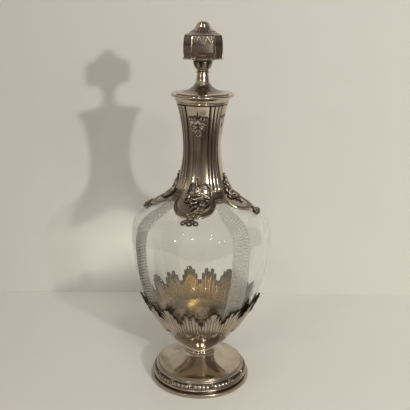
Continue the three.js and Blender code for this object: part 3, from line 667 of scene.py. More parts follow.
class CARAFE_OT_glass_body(bpy.types.Operator):
    """Blown body and neck, with four flat engraved bands"""

    bl_idname = "carafe.glass_body"
    bl_label = "Glass body"

    def execute(self, context):
        settings = context.scene.carafe_glass
        half_band = settings.band_width / MM / 2
        profile, outer_rows = glass_profile(settings.wall / MM)
        radius, height = profile[:, :1], profile[:, 1:]
        band = np.minimum(BAND_TOP_ANGLE, np.arcsin(np.clip(half_band / radius, 0, 1)))
        angles, across, banded = glass_columns(band, settings.columns)
        outer = np.isin(np.arange(len(profile)), outer_rows)[:, None]
        flat_rows = outer & (height < SEAM_HEIGHT + 6)
        flatness = np.where(flat_rows, smooth((height - FLAT_FROM) / 8) * smooth((FLAT_TO - height) / 8), 0)
        flat = np.cos(band) / np.cos(band * across)
        scale = np.where(banded, 1 + (flat - 1) * flatness, 1.0)
        points = polar(radius * scale, angles, height).reshape(-1, 3)
        uv = np.stack(np.broadcast_arrays(across * half_band, run_along(profile)[:, None]), -1).reshape(-1, 2)
        points = np.vstack([points, [0, 0, GLASS_FLOOR], [0, 0, CAVITY_FLOOR]])
        uv = np.vstack([uv, [0, 0], [0, 0]])
        faces = quads(len(profile), len(banded), False).tolist()
        ends = axis_fans(len(profile), len(banded))
        kind = np.concatenate([(flat_rows[:-1] & banded).astype(int).ravel(), np.zeros(len(ends), int)])
        clear = shared("clear_glass", clear_glass, tint=settings.tint)
        frosted = shared("engraved_glass", engraved_glass, tint=settings.tint, roughness=settings.frost)
        piece = make_piece("glass_vessel", points, faces + ends, [clear, frosted], None, kind, uv, crease=30)
        dress(piece, BODY, "clear_glass", "glass_body")
        return {"FINISHED"}


# Foot.

# The border's ribbon ties, its outline as radius and height, and its garland's band.
TIE_COUNT = 14
TIE_TURN = 0.75 * DEG
BORDER_PROFILE = (
    (39.7, 3.75), (39.75, 4.6), (40.35, 4.9), (40.65, 5.4), (40.35, 5.95), (39.9, 6.3), (40.0, 7.0), (39.9, 8.2),
    (39.4, 9.5), (38.6, 10.8), (38.1, 11.2), (38.15, 11.6), (37.75, 11.95), (37.3, 12.1), (36.95, 12.5),
    (36.75, 13.1), (36.95, 13.5), (36.8, 13.95), (36.4, 14.05),
)
BAND_LOW, BAND_HIGH = 6.3, 11.1
DOME_STEP, DOME_LOW, DOME_HIGH = 35.9, 14.5, 24.0
DOME_COLLAR = 14.1
COLLAR_WAIST = 12.6


def border_relief(angle, height):
    """Garland of laurel tied with crossed ribbons, from 0 to 1."""
    across = (height - (BAND_LOW + BAND_HIGH) / 2) / ((BAND_HIGH - BAND_LOW) / 2)
    cell = ((angle - TIE_TURN) / (2 * math.pi / TIE_COUNT)) % 1
    from_tie = np.minimum(cell, 1 - cell)
    berry = (5 * (cell - 0.1)) % 1
    laurel = dome(np.hypot(2 * berry - 1, across / 0.72))
    leaf = 0.55 * dome(np.hypot(2 * ((berry + 0.5) % 1) - 1, (abs(across) - 0.72) / 0.32) / 0.8)
    ribbon = dome((from_tie - 0.048) / 0.026)
    relief = np.where(from_tie < 0.09, ribbon, np.maximum(laurel, leaf))
    return relief * smooth((1 - abs(across)) / 0.08)


def base_ring():
    """Plain ring that the foot stands on, as wide and high as the frame's."""
    _, ring_high = millimetres("foot_flange")
    radius, top = ring_high.x, ring_high.z
    ring = np.concatenate([
        [(radius - 8, 0)],
        arc(radius - 0.9, 0.9, 0.9, -90, 0),
        arc(radius - 0.9, top - 0.9, 0.9, 0, 90),
        [(radius - 8, top)],
    ])
    # Painted shade darkens the whole ring.
    dress(turned("base_ring", ring, silver(), 160, 0.42), BODY, "silver", "foot_flange")


def chased_border(relief):
    """Moulded border with its garland raised by the relief."""
    profile = curve_through(BORDER_PROFILE, 5)
    columns = TIE_COUNT * 44
    angle = even(columns)[None, :]
    raised = border_relief(angle, profile[:, 1:])
    outer = polar(profile[:, :1] - 0.25 + relief * raised, angle, profile[:, 1:])
    inner = polar(np.array([[36.3], [36.3]]), angle, np.array([[13.8], [3.75]]))
    in_band = ((profile[:, 1:] > BAND_LOW) & (profile[:, 1:] < BAND_HIGH)) * smooth(1.6 * (1 - raised))
    groove = 0.9 * dome((profile[:, 1:] - 4.3) / 0.7) + 0.7 * dome((profile[:, 1:] - 12.7) / 0.5)
    hollow_and_shade = np.maximum(in_band, np.broadcast_to(groove, in_band.shape))
    piece = ring_shell("chased_border", outer, inner, chased_silver(), hollow_and_shade)
    dress(piece, BODY, "chased_silver", "foot_border")


def flared_dome():
    """Thin dome that flares from the border up to the collar, closed at its top round the stud."""
    share = np.linspace(0, 1, 36)
    radius = DOME_STEP + (DOME_COLLAR - DOME_STEP) * share
    flare = np.stack([radius, DOME_LOW + (DOME_HIGH - DOME_LOW) * share**1.9], -1)
    lip = [(DOME_STEP - 1, 8.3), (DOME_STEP, 8.3), (DOME_STEP, 13.9), (DOME_STEP - 0.1, 14.3),
           (DOME_STEP - 0.5, 14.45)]
    inside = flare[::-5] - [0, 1]
    hub = [(DOME_COLLAR - 0.3, 24.75), (STUD_HOLE, 24.75), (STUD_HOLE, 23.85), (DOME_COLLAR - 1, 23.85)]
    outline = np.concatenate([lip, flare[2:-1], hub, inside[1:-1], [(DOME_STEP - 1, 13)]])
    dress(turned("flared_dome", outline, silver(), 160), BODY, "silver", "foot_dome")


def ringed_collar():
    """Collar with a thick ring at each end and a thin one above the lower."""
    base, top = levels("stem_collar")
    outline = np.concatenate([
        [(STUD_HOLE, base), (13.2, base)],
        arc(13.3, base + 0.85, 0.8, -80, 80),
        [(COLLAR_WAIST + 0.3, base + 1.8)],
        arc(COLLAR_WAIST, base + 2.3, 0.35, -70, 70, 3),
        [(COLLAR_WAIST, base + 3.1), (COLLAR_WAIST + 0.05, top - 2.0)],
        arc(COLLAR_WAIST + 0.3, top - 1.3, 0.5, -80, 80, 5),
        [(COLLAR_WAIST + 0.4, top - 0.5), (COLLAR_WAIST + 0.6, top), (STUD_HOLE, top)],
    ])
    dress(turned("ringed_collar", outline, silver(), 120), BODY, "silver", "stem_collar")


class CARAFE_OT_foot(bpy.types.Operator):
    """Round foot: plain base ring, chased border, flared dome and the collar under the bowl"""

    bl_idname = "carafe.foot"
    bl_label = "Foot"

    def execute(self, context):
        base_ring()
        chased_border(context.scene.carafe_silver.relief / MM)
        flared_dome()
        ringed_collar()
        return {"FINISHED"}


# Calyx bowl and crown of leaves.

# Heights where a leaf has its full width, where its lobes part and where they pinch; then its stand-off, its
# sheet and its ridges.
LEAF_SHOULDER = 56
LEAF_STANDOFF = 0.6
LEAF_THICKNESS = 0.6
LEAF_RIDGE = 1.05
LEAF_VALLEY = 69.5
LEAF_NOTCH = 66
LEAF_TIP_SHARE = 0.72
BOWL_SEGMENTS = 128

# Lobes of half a leaf: inner and outer side as shares of its half width, and height of the tip as a share.
TALL_LOBES = ((0, 0.30, 1.0), (0.30, 0.56, 0.80), (0.56, 0.80, 0.50), (0.80, 1.0, 0.14))
PAIRED_LOBES = ((0, 0.10, 0.66), (0.10, 0.50, 0.86), (0.50, 0.77, 0.56), (0.77, 1.0, 0.14))
FINE_RIBS = 7


def lobe_of(across, tall):
    """Place within its lobe from -1 to 1, and the height share of the lobe's tip."""
    away = abs(across)
    within, reach = np.ones_like(away), np.full_like(away, 0.14)
    for low, high, height in TALL_LOBES if tall else PAIRED_LOBES:
        here = (away >= low) & (away <= high)
        centre = 0 if low == 0 else (low + high) / 2
        within = np.where(here, (away - centre) / (high - centre), within)
        reach = np.where(here, height, reach)
    return np.clip(within, -1, 1), reach


def crown_leaf(name, turn, tall, base, tip, pitch):
    """One gadrooned leaf: a fan of ribs that spreads from a narrow foot and ends in curled round lobes."""
    columns, rows = 121, 64
    across = np.linspace(-1, 1, columns)[None, :]
    share = np.linspace(0, 1, rows)[:, None]
    within, reach = lobe_of(across, tall)
    lobe = dome(within)
    rib = dome(2 * ((across + 1) * FINE_RIBS / 2 % 1) - 1)
    top = LEAF_VALLEY + (tip - LEAF_VALLEY) * reach + 2.1 * (lobe - 1)
    low = base + 1.4 + 2.4 * across**2 + 0.6 * (1 - rib)
    height = low + (top - low) * share
    growth = np.clip((height - base) / (LEAF_SHOULDER - base), 0, 1)
    half = pitch * (0.14 + 0.36 * growth**0.9)
    half = half * (1 - 0.03 * np.exp(-((height - LEAF_NOTCH) / 1.2) ** 2)) - 0.04 * DEG
    curl = 0.9 * smooth((share - 0.78) / 0.22) ** 2
    rise = smooth(share / 0.16)
    angle = turn + across * half
    run = run_at_height(height)
    ridge = LEAF_RIDGE * (0.45 * lobe + 0.55 * rib**1.3) * rise
    outer_radius, outer_height = body_at(run, (LEAF_STANDOFF + LEAF_THICKNESS) * rise + ridge + curl)
    back = LEAF_STANDOFF * rise - 0.3 * (1 - rise) + 0.6 * ridge + curl
    inner_radius, inner_height = body_at(run, back)
    outer, inner = polar(outer_radius, angle, outer_height), polar(inner_radius, angle, inner_height)
    at_tip = smooth((share - LEAF_TIP_SHARE) / 0.1)
    groove = smooth((0.72 - rib) / 0.3) * (1 - 0.6 * at_tip)
    # Painted shadow: the outline of each lobe's curled tip, and the top edge of the leaf, are darkened; the
    # grooves between ribs hold patina.
    outline = smooth((0.7 - lobe) / 0.3) * at_tip
    hollow_and_shade = np.maximum(groove * (0.35 + 0.65 * rise), outline)
    hollow_and_shade = np.maximum(hollow_and_shade, smooth((share - 0.93) / 0.03))
    # Painted shade on the gilt back: darkened all over, more along the grooves and most at the tips.
    behind = np.maximum(0.3 + 0.7 * smooth((0.75 - rib) / 0.4), 0.95 * smooth((share - LEAF_TIP_SHARE) / 0.12))
    return leaf_shell(name, outer, inner, [chased_silver(), gilt()], hollow_and_shade, behind + 0 * height)


class CARAFE_OT_calyx(bpy.types.Operator):
    """Plain bowl under the glass, gilt inside, and the crown of gadrooned leaves"""

    bl_idname = "carafe.calyx"
    bl_label = "Bowl and crown"

    def execute(self, context):
        settings = context.scene.carafe_crown
        outer_heights = np.concatenate([[31.2], np.linspace(31.7, BOWL_EDGE, 26)])
        outer = np.stack(body_at(run_at_height(outer_heights)), -1)
        inner_heights = np.linspace(BOWL_EDGE, 34.5, 20)
        inner = np.stack(body_at(run_at_height(inner_heights), -1.0), -1)
        outline = np.concatenate([[(STUD_HOLE, 31.2)], outer, inner, [(14.3, 32.2), (STUD_HOLE, 32.2)]])
        # Painted shade darkens the whole bowl, its gilt lining too.
        bowl = turned("calyx_cup", outline, silver(), BOWL_SEGMENTS, 0.42)
        bowl.data.materials.append(gilt())
        lining = np.zeros(len(bowl.data.polygons), int)
        lining[(1 + len(outer)) * BOWL_SEGMENTS:] = 1
        bowl.data.polygons.foreach_set("material_index", lining)
        dress(bowl, BODY, "silver", "calyx_bowl")
        base, tip = settings.base / MM, settings.tip / MM
        pitch = 2 * math.pi / settings.leaf_count
        for i in range(settings.leaf_count):
            name = f"gadrooned_leaf_{i + 1:02d}"
            piece = crown_leaf(name, settings.turn + i * pitch, i % 2 == 1, base, tip, pitch)
            dress(piece, BODY, "chased_silver", f"crown_leaf_{i + 1:02d}")
        return {"FINISHED"}


# Neck mount.

SLEEVE_COLUMNS = 432
REED_GROUP = 15 * DEG
REED_COUNT = 3
REED_HEIGHT = 0.8
REED_BEAD = 1.15
LAPPET_RADIUS = 41.2
ARCH_RADIUS = 27
LAPPET_HALF_ANGLE = 36 * DEG
EDGE_BORDER = 4.0
MATTING_COUNT = 168
MATTING_PITCH = 1.35
PALMETTE = mirrored([
    ([(0, 3.0), (0, 8.6)], [1.5, 0.4], 1),
    ([(0.9, 3.4), (2.0, 6.4)], [0.8, 0.3], 0.9),
    ([(1.0, 3.0), (2.6, 4.9), (3.9, 3.9), (3.2, 2.6)], [0.7, 0.65, 0.55], 1),
    ([(3.6, 2.2), (4.8, 4.5), (6.3, 3.8), (5.6, 2.5)], [0.6, 0.65, 0.55], 1),
    ([(5.9, 3.0), (7.2, 4.7), (7.9, 3.6)], [0.5, 0.55, 0.4], 0.9),
    ([(1.2, 2.2), (3.8, 1.2), (6.4, 1.8)], [0.5, 0.5, 0.35], 0.9),
    ([(0, -1.4), (0, -5.0)], [1.1, 0.7], 1),
    ([(1.2, -2.6), (3.3, -1.8), (5.0, -3.0), (4.3, -4.6), (3.0, -4.0)], [0.7, 0.7, 0.6, 0.5], 1),
    ([(0.9, -4.4), (2.7, -6.0), (4.4, -5.8)], [0.7, 0.65, 0.4], 0.9),
    ([(0, -5), (0, -8.6)], [0.7, 0.3], 0.9),
    ([(0.5, -7.2), (1.8, -8.8), (2.3, -10.4), (1.2, -10.9)], [0.5, 0.5, 0.4], 0.9),
    bead(0, -11.9, 0.5, 0.9),
])
PALMETTE_ARCH = mirrored([([(0, 0.9), (1.7, 0.3), (2.6, -1.4)], 0.5, 1)])
PALMETTE_HEIGHT = 225.5
CHASING_DEPTH = 0.28
RIM_RADIUS = 25.15
RIM_BORE = 12.3


def sleeve_relief(angle):
    """Reeds at the corners and a fine line on each side of them, from 0 to 1."""
    from_corner = angle % QUARTER - QUARTER / 2
    reed = (from_corner + REED_GROUP) / (2 * REED_GROUP) * REED_COUNT
    reeds = np.where(abs(from_corner) < REED_GROUP, dome(2 * (reed % 1) - 1), 0)
    line = 0.55 * dome((abs(from_corner) - REED_GROUP - 1.6 * DEG) / (0.7 * DEG))
    return np.maximum(reeds, line), from_corner


def matting(angle, away):
    """Small punched beads in staggered rows along the skirt's edge, each of its own height, from 0 to 1."""
    row = np.floor(away / MATTING_PITCH).astype(int)
    place = angle / (2 * math.pi) * MATTING_COUNT + 0.5 * (row % 2)
    column = np.floor(place).astype(int) % MATTING_COUNT
    tall = np.random.default_rng(7).uniform(0.1, 1.0, (MATTING_COUNT, 40))[column, row % 40]
    return dome(2.1 * np.hypot(place % 1 - 0.5, away / MATTING_PITCH % 1 - 0.5)) * tall


def edge_radius(angle):
    """Radius of the skirt's lower edge: four round lappets with arches between them."""
    share = np.minimum(1, abs(from_lappet(angle)) / LAPPET_HALF_ANGLE)
    return ARCH_RADIUS + (LAPPET_RADIUS - ARCH_RADIUS) * (1 - share**2.4)


def reeded_sleeve():
    """Sleeve with groups of reeds at its corners, a bead under each reed and a palmette on each panel."""
    angle = even(SLEEVE_COLUMNS)[None, :]
    seam = run_at_height(SEAM_HEIGHT) + 0.3
    run = np.linspace(seam, run_at_height(SLEEVE_TOP), 190)[:, None]
    corner, from_corner = sleeve_relief(angle)
    from_panel = from_lappet(angle)
    radius, height = mount_at(run)
    fade = smooth((run - seam) / 3) * 0.75 + 0.25
    x = from_panel * radius
    along = run - run_at_height(PALMETTE_HEIGHT) + 0 * x
    arch = stroke_height(x, along, PALMETTE_ARCH)
    chased = stroke_height(x, along, PALMETTE) * (arch <= 0)
    reed_turn = 2 * REED_GROUP / REED_COUNT
    from_reed = (from_corner + REED_GROUP) % reed_turn - reed_turn / 2
    bead_ends = dome(np.hypot(from_reed * radius, run - seam - REED_BEAD) / REED_BEAD)
    bead_ends = bead_ends * (abs(from_corner) < REED_GROUP)
    lift = REED_HEIGHT * corner * fade - CHASING_DEPTH * chased + 0.2 * arch + 0.9 * bead_ends
    outer = polar(radius + lift, angle, height)
    run_in = np.linspace(run[-1, 0], seam, 24)[:, None]
    radius_in, height_in = mount_at(run_in, MOUNT_BACK)
    inner = polar(radius_in, angle, height_in)
    # Patina in the grooves between reeds, and painted shade over the whole reed groups except their beads; shade
    # is painted shade on the middle of each panel near the seam.
    in_reeds = abs(from_corner) < REED_GROUP + 2.6 * DEG
    reed_grooves_and_shade = np.where(in_reeds, np.maximum(0.28, smooth(1.5 * (1 - corner))), 0) * (bead_ends <= 0)
    shade = 0.6 * smooth((SEAM_HEIGHT + 14 - height) / 8) * smooth((20 - abs(from_panel) / DEG) / 6)
    hollow_and_shade = np.maximum.reduce([reed_grooves_and_shade + 0 * lift, 0.95 * chased, shade + 0 * lift])
    sleeve = ring_shell("reeded_sleeve", outer, inner, silver(), hollow_and_shade)
    dress(sleeve, BODY, "silver", "neck_sleeve")


def lappet_skirt():
    """Skirt from the sleeve's seam down over the shoulder, with a raised matted border along its edge."""
    angle = even(2 * SLEEVE_COLUMNS)[None, :]
    edge = run_at_radius(edge_radius(angle))
    from_edge = np.concatenate([np.linspace(0, 0.5, 4), np.linspace(0.7, EDGE_BORDER, 16),
                                np.linspace(EDGE_BORDER + 0.25, EDGE_BORDER + 1, 3)])[:, None]
    seam = run_at_height(SEAM_HEIGHT)
    rest = np.linspace(0.05, 1, 34)[:, None]
    run = np.concatenate([edge + from_edge, edge + from_edge[-1] + (seam - edge - from_edge[-1]) * rest])
    away = run - edge
    raised = smooth(away / 0.5 + 0.3) * smooth((EDGE_BORDER + 0.5 - away) / 0.4)
    in_border = smooth((away - 0.6) / 0.2) * smooth((EDGE_BORDER - away) / 0.2)
    stipple = matting(angle, away) * in_border
    radius, height = mount_at(run, 0.3 * raised + 0.5 * stipple)
    outer = polar(radius, angle, height)
    run_in = edge + (seam - edge) * np.linspace(1, 0, 24)[:, None]
    radius_in, height_in = mount_at(run_in, MOUNT_BACK)
    inner = polar(radius_in, angle, height_in)
    border_line = dome((away - EDGE_BORDER - 0.5) / 0.5)
    # Painted shade darkens the plain skirt, more between the lappets, and stops short of its outer edge; the
    # matted band holds patina between its beads.
    between_lappets = smooth((abs(from_lappet(angle)) / DEG - 26) / 8)
    plain = (0.45 + 0.35 * between_lappets) * (away > 0.45)
    hollow_and_shade = np.clip(np.maximum(plain, in_border) - 1.3 * stipple + 0.9 * border_line, 0, 1)
    skirt = ring_shell("lappet_skirt", outer, inner, chased_silver(), hollow_and_shade)
    dress(skirt, BODY, "chased_silver", "shoulder_skirt")


def moulded_rim():
    """Rim that caps the sleeve and the glass's mouth."""
    base, top = levels("rim_collar")
    sleeve_radius = float(mount_at(run_at_height(SLEEVE_TOP))[0])
    seat = MOUTH_HEIGHT + 0.3
    outline = np.concatenate([
        [(RIM_BORE, seat), (16.1, seat), (16.1, base), (sleeve_radius + 0.2, base)],
        arc(sleeve_radius + 0.2, base + 0.5, 0.5, -90, 90, 5),
        [(sleeve_radius + 0.1, base + 1.3), (sleeve_radius + 0.5, base + 1.5)],
        curve_through([(sleeve_radius + 0.6, base + 1.6), (sleeve_radius + 1.3, base + 2.4),
                       (sleeve_radius + 2.4, base + 4.0), (RIM_RADIUS - 1.2, base + 5.0)], 5),
        arc(RIM_RADIUS - 0.95, top - 0.95, 0.95, -70, 110, 10),
        [(RIM_RADIUS - 1.9, top - 0.3), (RIM_RADIUS - 2.6, top - 0.5), (RIM_BORE, top - 0.5)],
    ])
    dress(turned("moulded_rim", outline, silver(), 144), BODY, "silver", "rim_collar")


class CARAFE_OT_neck_mount(bpy.types.Operator):
    """Reeded sleeve with a chased palmette on each panel, the skirt of lappets and the moulded rim"""

    bl_idname = "carafe.neck_mount"
    bl_label = "Neck mount"

    def execute(self, context):
        reeded_sleeve()
        lappet_skirt()
        moulded_rim()
        return {"FINISHED"}


# Ornaments on the lappets.

# Strokes and boxes run across and along the mount from the ornament's own middle, towards the neck.
CARTOUCHE_CENTRE = 172
CARTOUCHE_BOX = ((-12.6, -20.6), (12.6, 10.4))
PENDANT_BOX = ((-7.05, -7.2), (7.05, 0.45))
CARTOUCHE = [
    ([(1.9, 0), (1.35, 1.9), (0, 2.8), (-1.35, 1.9), (-1.9, 0),
      (-1.35, -1.9), (0, -2.8), (1.35, -1.9), (1.9, 0)], 0.8, 1.7),
    bead(0, 7.2, 1.3, 1.8),
    bead(0, 10.0, 0.95, 1.4),
    ([(0, 5.8), (0, 3.6)], [0.7, 0.9], 1.3),
    ([(-1.6, 3.6), (-3.8, 4.8), (-5.0, 3.2), (-3.8, 2.0)], [0.9, 0.8, 0.7, 0.6], 1.3),
    ([(1.6, 3.6), (3.8, 4.8), (4.9, 3.0), (3.7, 2.0)], [0.9, 0.8, 0.7, 0.6], 1.4),
    ([(-4.4, 0.2), (-6.4, -0.4), (-6.2, 1.4)], [0.8, 0.7, 0.5], 1.2),
    ([(-5.4, -2.2), (-7.2, -2.2), (-7.5, -4.2), (-5.8, -5.0), (-1.5, -5.1), (2.6, -4.4), (4.2, -3.6)],
     [0.7, 0.9, 1.15, 1.3, 1.3, 1.0], 2.0),
    ([(-4.6, -6.2), (-4.9, -9.2), (-3.2, -12.4), (-0.6, -13.4), (1.8, -12.2), (2.4, -9.4)],
     [0.9, 1.1, 1.1, 1.0, 0.7], 1.8),
    bead(-0.9, -9.4, 1.5, 2.0),
    ([(4.8, 5.4), (7.6, 4.6), (10.2, 1.4), (11.5, -2.4)], [0.6, 0.9, 0.9, 0.7], 1.7),
    ([(11.5, -2.4), (12.0, -5.6), (9.9, -7.6), (7.4, -6.6), (7.0, -4.0), (8.8, -3.0), (9.9, -4.6)],
     [0.8, 1.0, 1.0, 0.9, 0.8, 0.7], 1.9),
    ([(5.2, -1.2), (6.6, 0.8), (8.4, 0.6)], [0.9, 0.9, 0.6], 1.5),
    ([(11.9, -8.8), (11.8, -11.4), (10.6, -14.4), (8.6, -16.6)], [0.6, 0.9, 0.9, 0.6], 1.7),
    bead(6.4, -12.4, 3.5, 1.4),
    bead(-2.2, -15.4, 1.15, 1.6),
    bead(1.2, -16.8, 1.15, 1.6),
    ([(-5.4, -12.8), (-7.6, -11.8), (-8.2, -9.2), (-7.0, -7.8)], [0.7, 0.9, 0.8, 0.6], 1.3),
    ([(-0.5, -18.2), (-0.4, -20.0)], [0.9, 0.5], 1.3),
]
PENDANT = mirrored([
    ([(0, 1.0), (0, -4.8)], [2.9, 2.6], 1.4),
    ([(0, -3.6), (2.6, -3.0), (4.4, -3.6), (5.0, -4.8)], [1.7, 1.6, 1.5], 1.5),
    bead(5.0, -4.9, 2.0, 1.8),
    bead(0, -5.1, 2.2, 2.0),
])


def cartouche_stand(s):
    """How far a cartouche stands off the skirt."""
    return 0.35


def pendant_stand(s):
    """How far a pendant stands off the glass: it rises towards the tip of its lappet."""
    return 0.75 + 0.85 * smooth((s + 2.4) / 2.4)


def ornament(i, kind, surface, run, stand, strokes, box, cell, shade):
    """Patch of relief on a surface, at a length along it, in the middle of a lappet."""

    def place(x, s, offset):
        ground, _ = surface(run + s)
        radius, height = surface(run + s, offset + stand(s))
        return polar(radius, i * QUARTER + x / ground, height)

    piece = relief_patch(f"cast_{kind}_{i + 1}", place, strokes, box, cell, chased_silver(), shade)
    dress(piece, BODY, "chased_silver", f"{kind}_{i + 1}")


class CARAFE_OT_ornaments(bpy.types.Operator):
    """Cast cartouche on each lappet and the small pendant under its tip"""

    bl_idname = "carafe.ornaments"
    bl_label = "Cartouches and pendants"

    def execute(self, context):
        centre, tip = run_at_height(CARTOUCHE_CENTRE), run_at_radius(LAPPET_RADIUS)
        for i in range(4):
            ornament(i, "cartouche", mount_at, centre, cartouche_stand, CARTOUCHE, CARTOUCHE_BOX,
                     cell=0.2, shade=0.25)
            ornament(i, "pendant", body_at, tip, pendant_stand, PENDANT, PENDANT_BOX, cell=0.15, shade=0.6)
        return {"FINISHED"}


# Stopper.

STOPPER_TURN = 11.5 * DEG
FINIAL_HALF = 15.0
FINIAL_FACE = 9.1
EDGE_RIB = 0.35
FACE_FULLNESS = 0.035

# Moulding at the finial's foot: height above it, and how far it stands inside the widest place.
FINIAL_LEDGE = ((0, 1.9), (0.1, 1.3), (0.35, 0.65), (0.75, 0.15), (1.15, 0), (1.45, 0.3), (1.6, 0.9))
DISC_RADIUS = 20.8
BOWL_PETALS = 8

# Width of the roof and knob as a share of the finial's, and their roundness, by height above the finial.
ROOF_SWEEP = (
    (0, 1.0, 0), (0.5, 0.94, 0.05), (1.4, 0.80, 0.3), (2.6, 0.675, 0.75), (4.0, 0.57, 1.0),
    (5.4, 0.47, 1.0), (7.0, 0.40, 1.0), (8.6, 0.335, 1.0), (9.6, 0.24, 1.0), (10.3, 0.07, 1.0),
)


def turning(angle):
    """Matrix that turns rows of points about the axis."""
    return np.array([[math.cos(angle), math.sin(angle)], [-math.sin(angle), math.cos(angle)]])


def finial_outline(half, fullness=FACE_FULLNESS):
    """Points round a square with cut corners, full faces and ribbed edges, and their places on those faces."""
    face = FINIAL_FACE / FINIAL_HALF * half
    points, places = [], []
    for quarter in range(4):
        corners = np.array([(-face, -half), (face, -half), (half, -face)]) @ turning(quarter * math.pi / 2)
        for k, (steps, swell) in enumerate(((40, fullness), (20, 0.02))):
            start, end = corners[k], corners[k + 1]
            length = np.linalg.norm(end - start)
            out = (start + end) / np.linalg.norm(start + end)
            share = np.linspace(0, 1, steps, endpoint=False)[:, None]
            from_edge = np.minimum(share, 1 - share) * length
            rib = EDGE_RIB * np.exp(-((from_edge / 0.45) ** 2))
            points.append(start + (end - start) * share + out * (swell * half * 4 * share * (1 - share) + rib))
            places += [(2 * s - 1, k) for s in share[:, 0]]
    return np.concatenate(points), np.array(places)


def round_outline(radius, count):
    """Points of a circle that starts where the finial's outline starts."""
    angle = even(count) - math.atan2(FINIAL_FACE, FINIAL_HALF)
    return np.stack([radius * np.sin(angle), -radius * np.cos(angle)], -1)


def closed_stack(name, outlines, hollows_and_shade, material):
    """Piece from (outline, height) levels, turned as the stopper stands and closed at both ends on the axis."""
    spin = turning(STOPPER_TURN)
    grid = np.array([
        np.column_stack([points @ spin, np.full(len(points), height)]) for points, height in outlines])
    rows, columns = grid.shape[:2]
    faces = quads(rows, columns, False).tolist() + axis_fans(rows, columns)
    points = np.vstack([grid.reshape(-1, 3), [0, 0, grid[0, :, 2].mean()], [0, 0, grid[-1, :, 2].max()]])
    return make_piece(name, points, faces, [material], np.append(hollows_and_shade, [0, 0]))


def finial_chasing(place, depth):
    """Outlines of leaves that hang from the top of each face, from 0 to 1; depth is measured from the top."""
    x = place[:, 0]
    relief = np.zeros(len(x))
    for centre, width, length in ((0, 0.36, 7.0), (-0.66, 0.34, 5.2), (0.66, 0.34, 5.2)):
        share = np.clip(depth / length, 0, 1)
        wide = width * (1 - share**1.3)
        edge = dome((abs(x - centre) - wide) / 0.045) + 0.7 * dome((x - centre) / 0.04) * (share < 0.6)
        relief = np.maximum(relief, edge * (depth < length))
    return np.minimum(relief, 1)


def domed_disc():
    """Disc that covers the mouth, with a step inside its edge and a dome up to the stem."""
    base, top = levels("stopper_flange")
    outline = np.concatenate([
        [(ROD_HOLE, base), (DISC_RADIUS - 0.4, base)],
        arc(DISC_RADIUS - 0.45, base + 0.5, 0.45, -60, 90, 4),
        [(DISC_RADIUS - 1.2, base + 0.85), (DISC_RADIUS - 4.4, base + 1.3), (DISC_RADIUS - 4.8, base + 1.55),
         (DISC_RADIUS - 5.4, base + 1.6)],
        curve_through([(DISC_RADIUS - 5.6, base + 1.7), (12.2, base + 2.6), (8.8, base + 4.6), (6.6, base + 6.6),
                       (6.1, top)], 8),
        [(ROD_HOLE, top)],
    ])
    # Painted shade darkens the disc inside its edge, and a painted highlight leaves a pale ring at the step.
    inside = DISC_RADIUS - 1.5 - outline[:, 0]
    hollow_and_shade = 0.62 * smooth(inside / 0.8) - 0.45 * np.exp(-(((inside - 3.3) / 0.45) ** 2))
    dress(turned("domed_disc", outline, silver(), 144, np.clip(hollow_and_shade, 0, 1)), TOP, "silver", "stopper_flange")


def finial_stem():
    """Stem that narrows upwards to a ring under the bowl."""
    base, top = levels("stopper_stem")
    outline = np.concatenate([
        [(ROD_HOLE, base)],
        curve_through([(5.8, base), (5.1, base + 2.6), (4.75, base + 5.5), (4.4, top - 2.0)], 8),
        arc(4.6, top - 1.15, 0.75, -70, 70, 7),
        [(4.0, top), (ROD_HOLE, top)],
    ])
    # Painted shade darkens the whole stem.
    dress(turned("finial_stem", outline, silver(), 96, 0.3), TOP, "silver", "stopper_stem")


def leafed_bowl():
    """Small bowl with a cup of raised leaves."""
    base, top = levels("finial_bowl")
    profile = curve_through([(4.5, base), (5.2, base + 0.9), (6.2, base + 2.4), (7.0, base + 4.3),
                             (7.6, base + 6.3), (7.85, top - 0.7), (7.6, top)], 12)
    angle = even(192)[None, :]
    share = (profile[:, 1:] - base) / (top - base)
    petal = (angle / (2 * math.pi) * BOWL_PETALS) % 1
    leaf = dome((2 * petal - 1) / np.clip(1.02 - 0.5 * share, 0.4, 1)) * smooth((0.86 - share) / 0.1)
    outer = polar(profile[:, :1] - 0.3 + 0.35 * leaf, angle, profile[:, 1:])
    inner = polar(np.array([[ROD_HOLE], [ROD_HOLE]]), angle, np.array([[top], [base]]))
    # Painted shade darkens the bowl, and patina lies between its leaves; a band at the top and a zigzag band at
    # the foot, four points to the turn, stay bright.
    vee = smooth((0.2 + 0.16 * abs(2 * ((angle - STOPPER_TURN) / (2 * math.pi) * 4 % 1) - 1) - share) / 0.06)
    hollow_and_shade = (0.55 + 0.45 * (1 - leaf)) * smooth((0.95 - share) / 0.1) * (1 - vee)
    dress(ring_shell("leafed_bowl", outer, inner, chased_silver(), hollow_and_shade), TOP, "chased_silver", "finial_bowl")


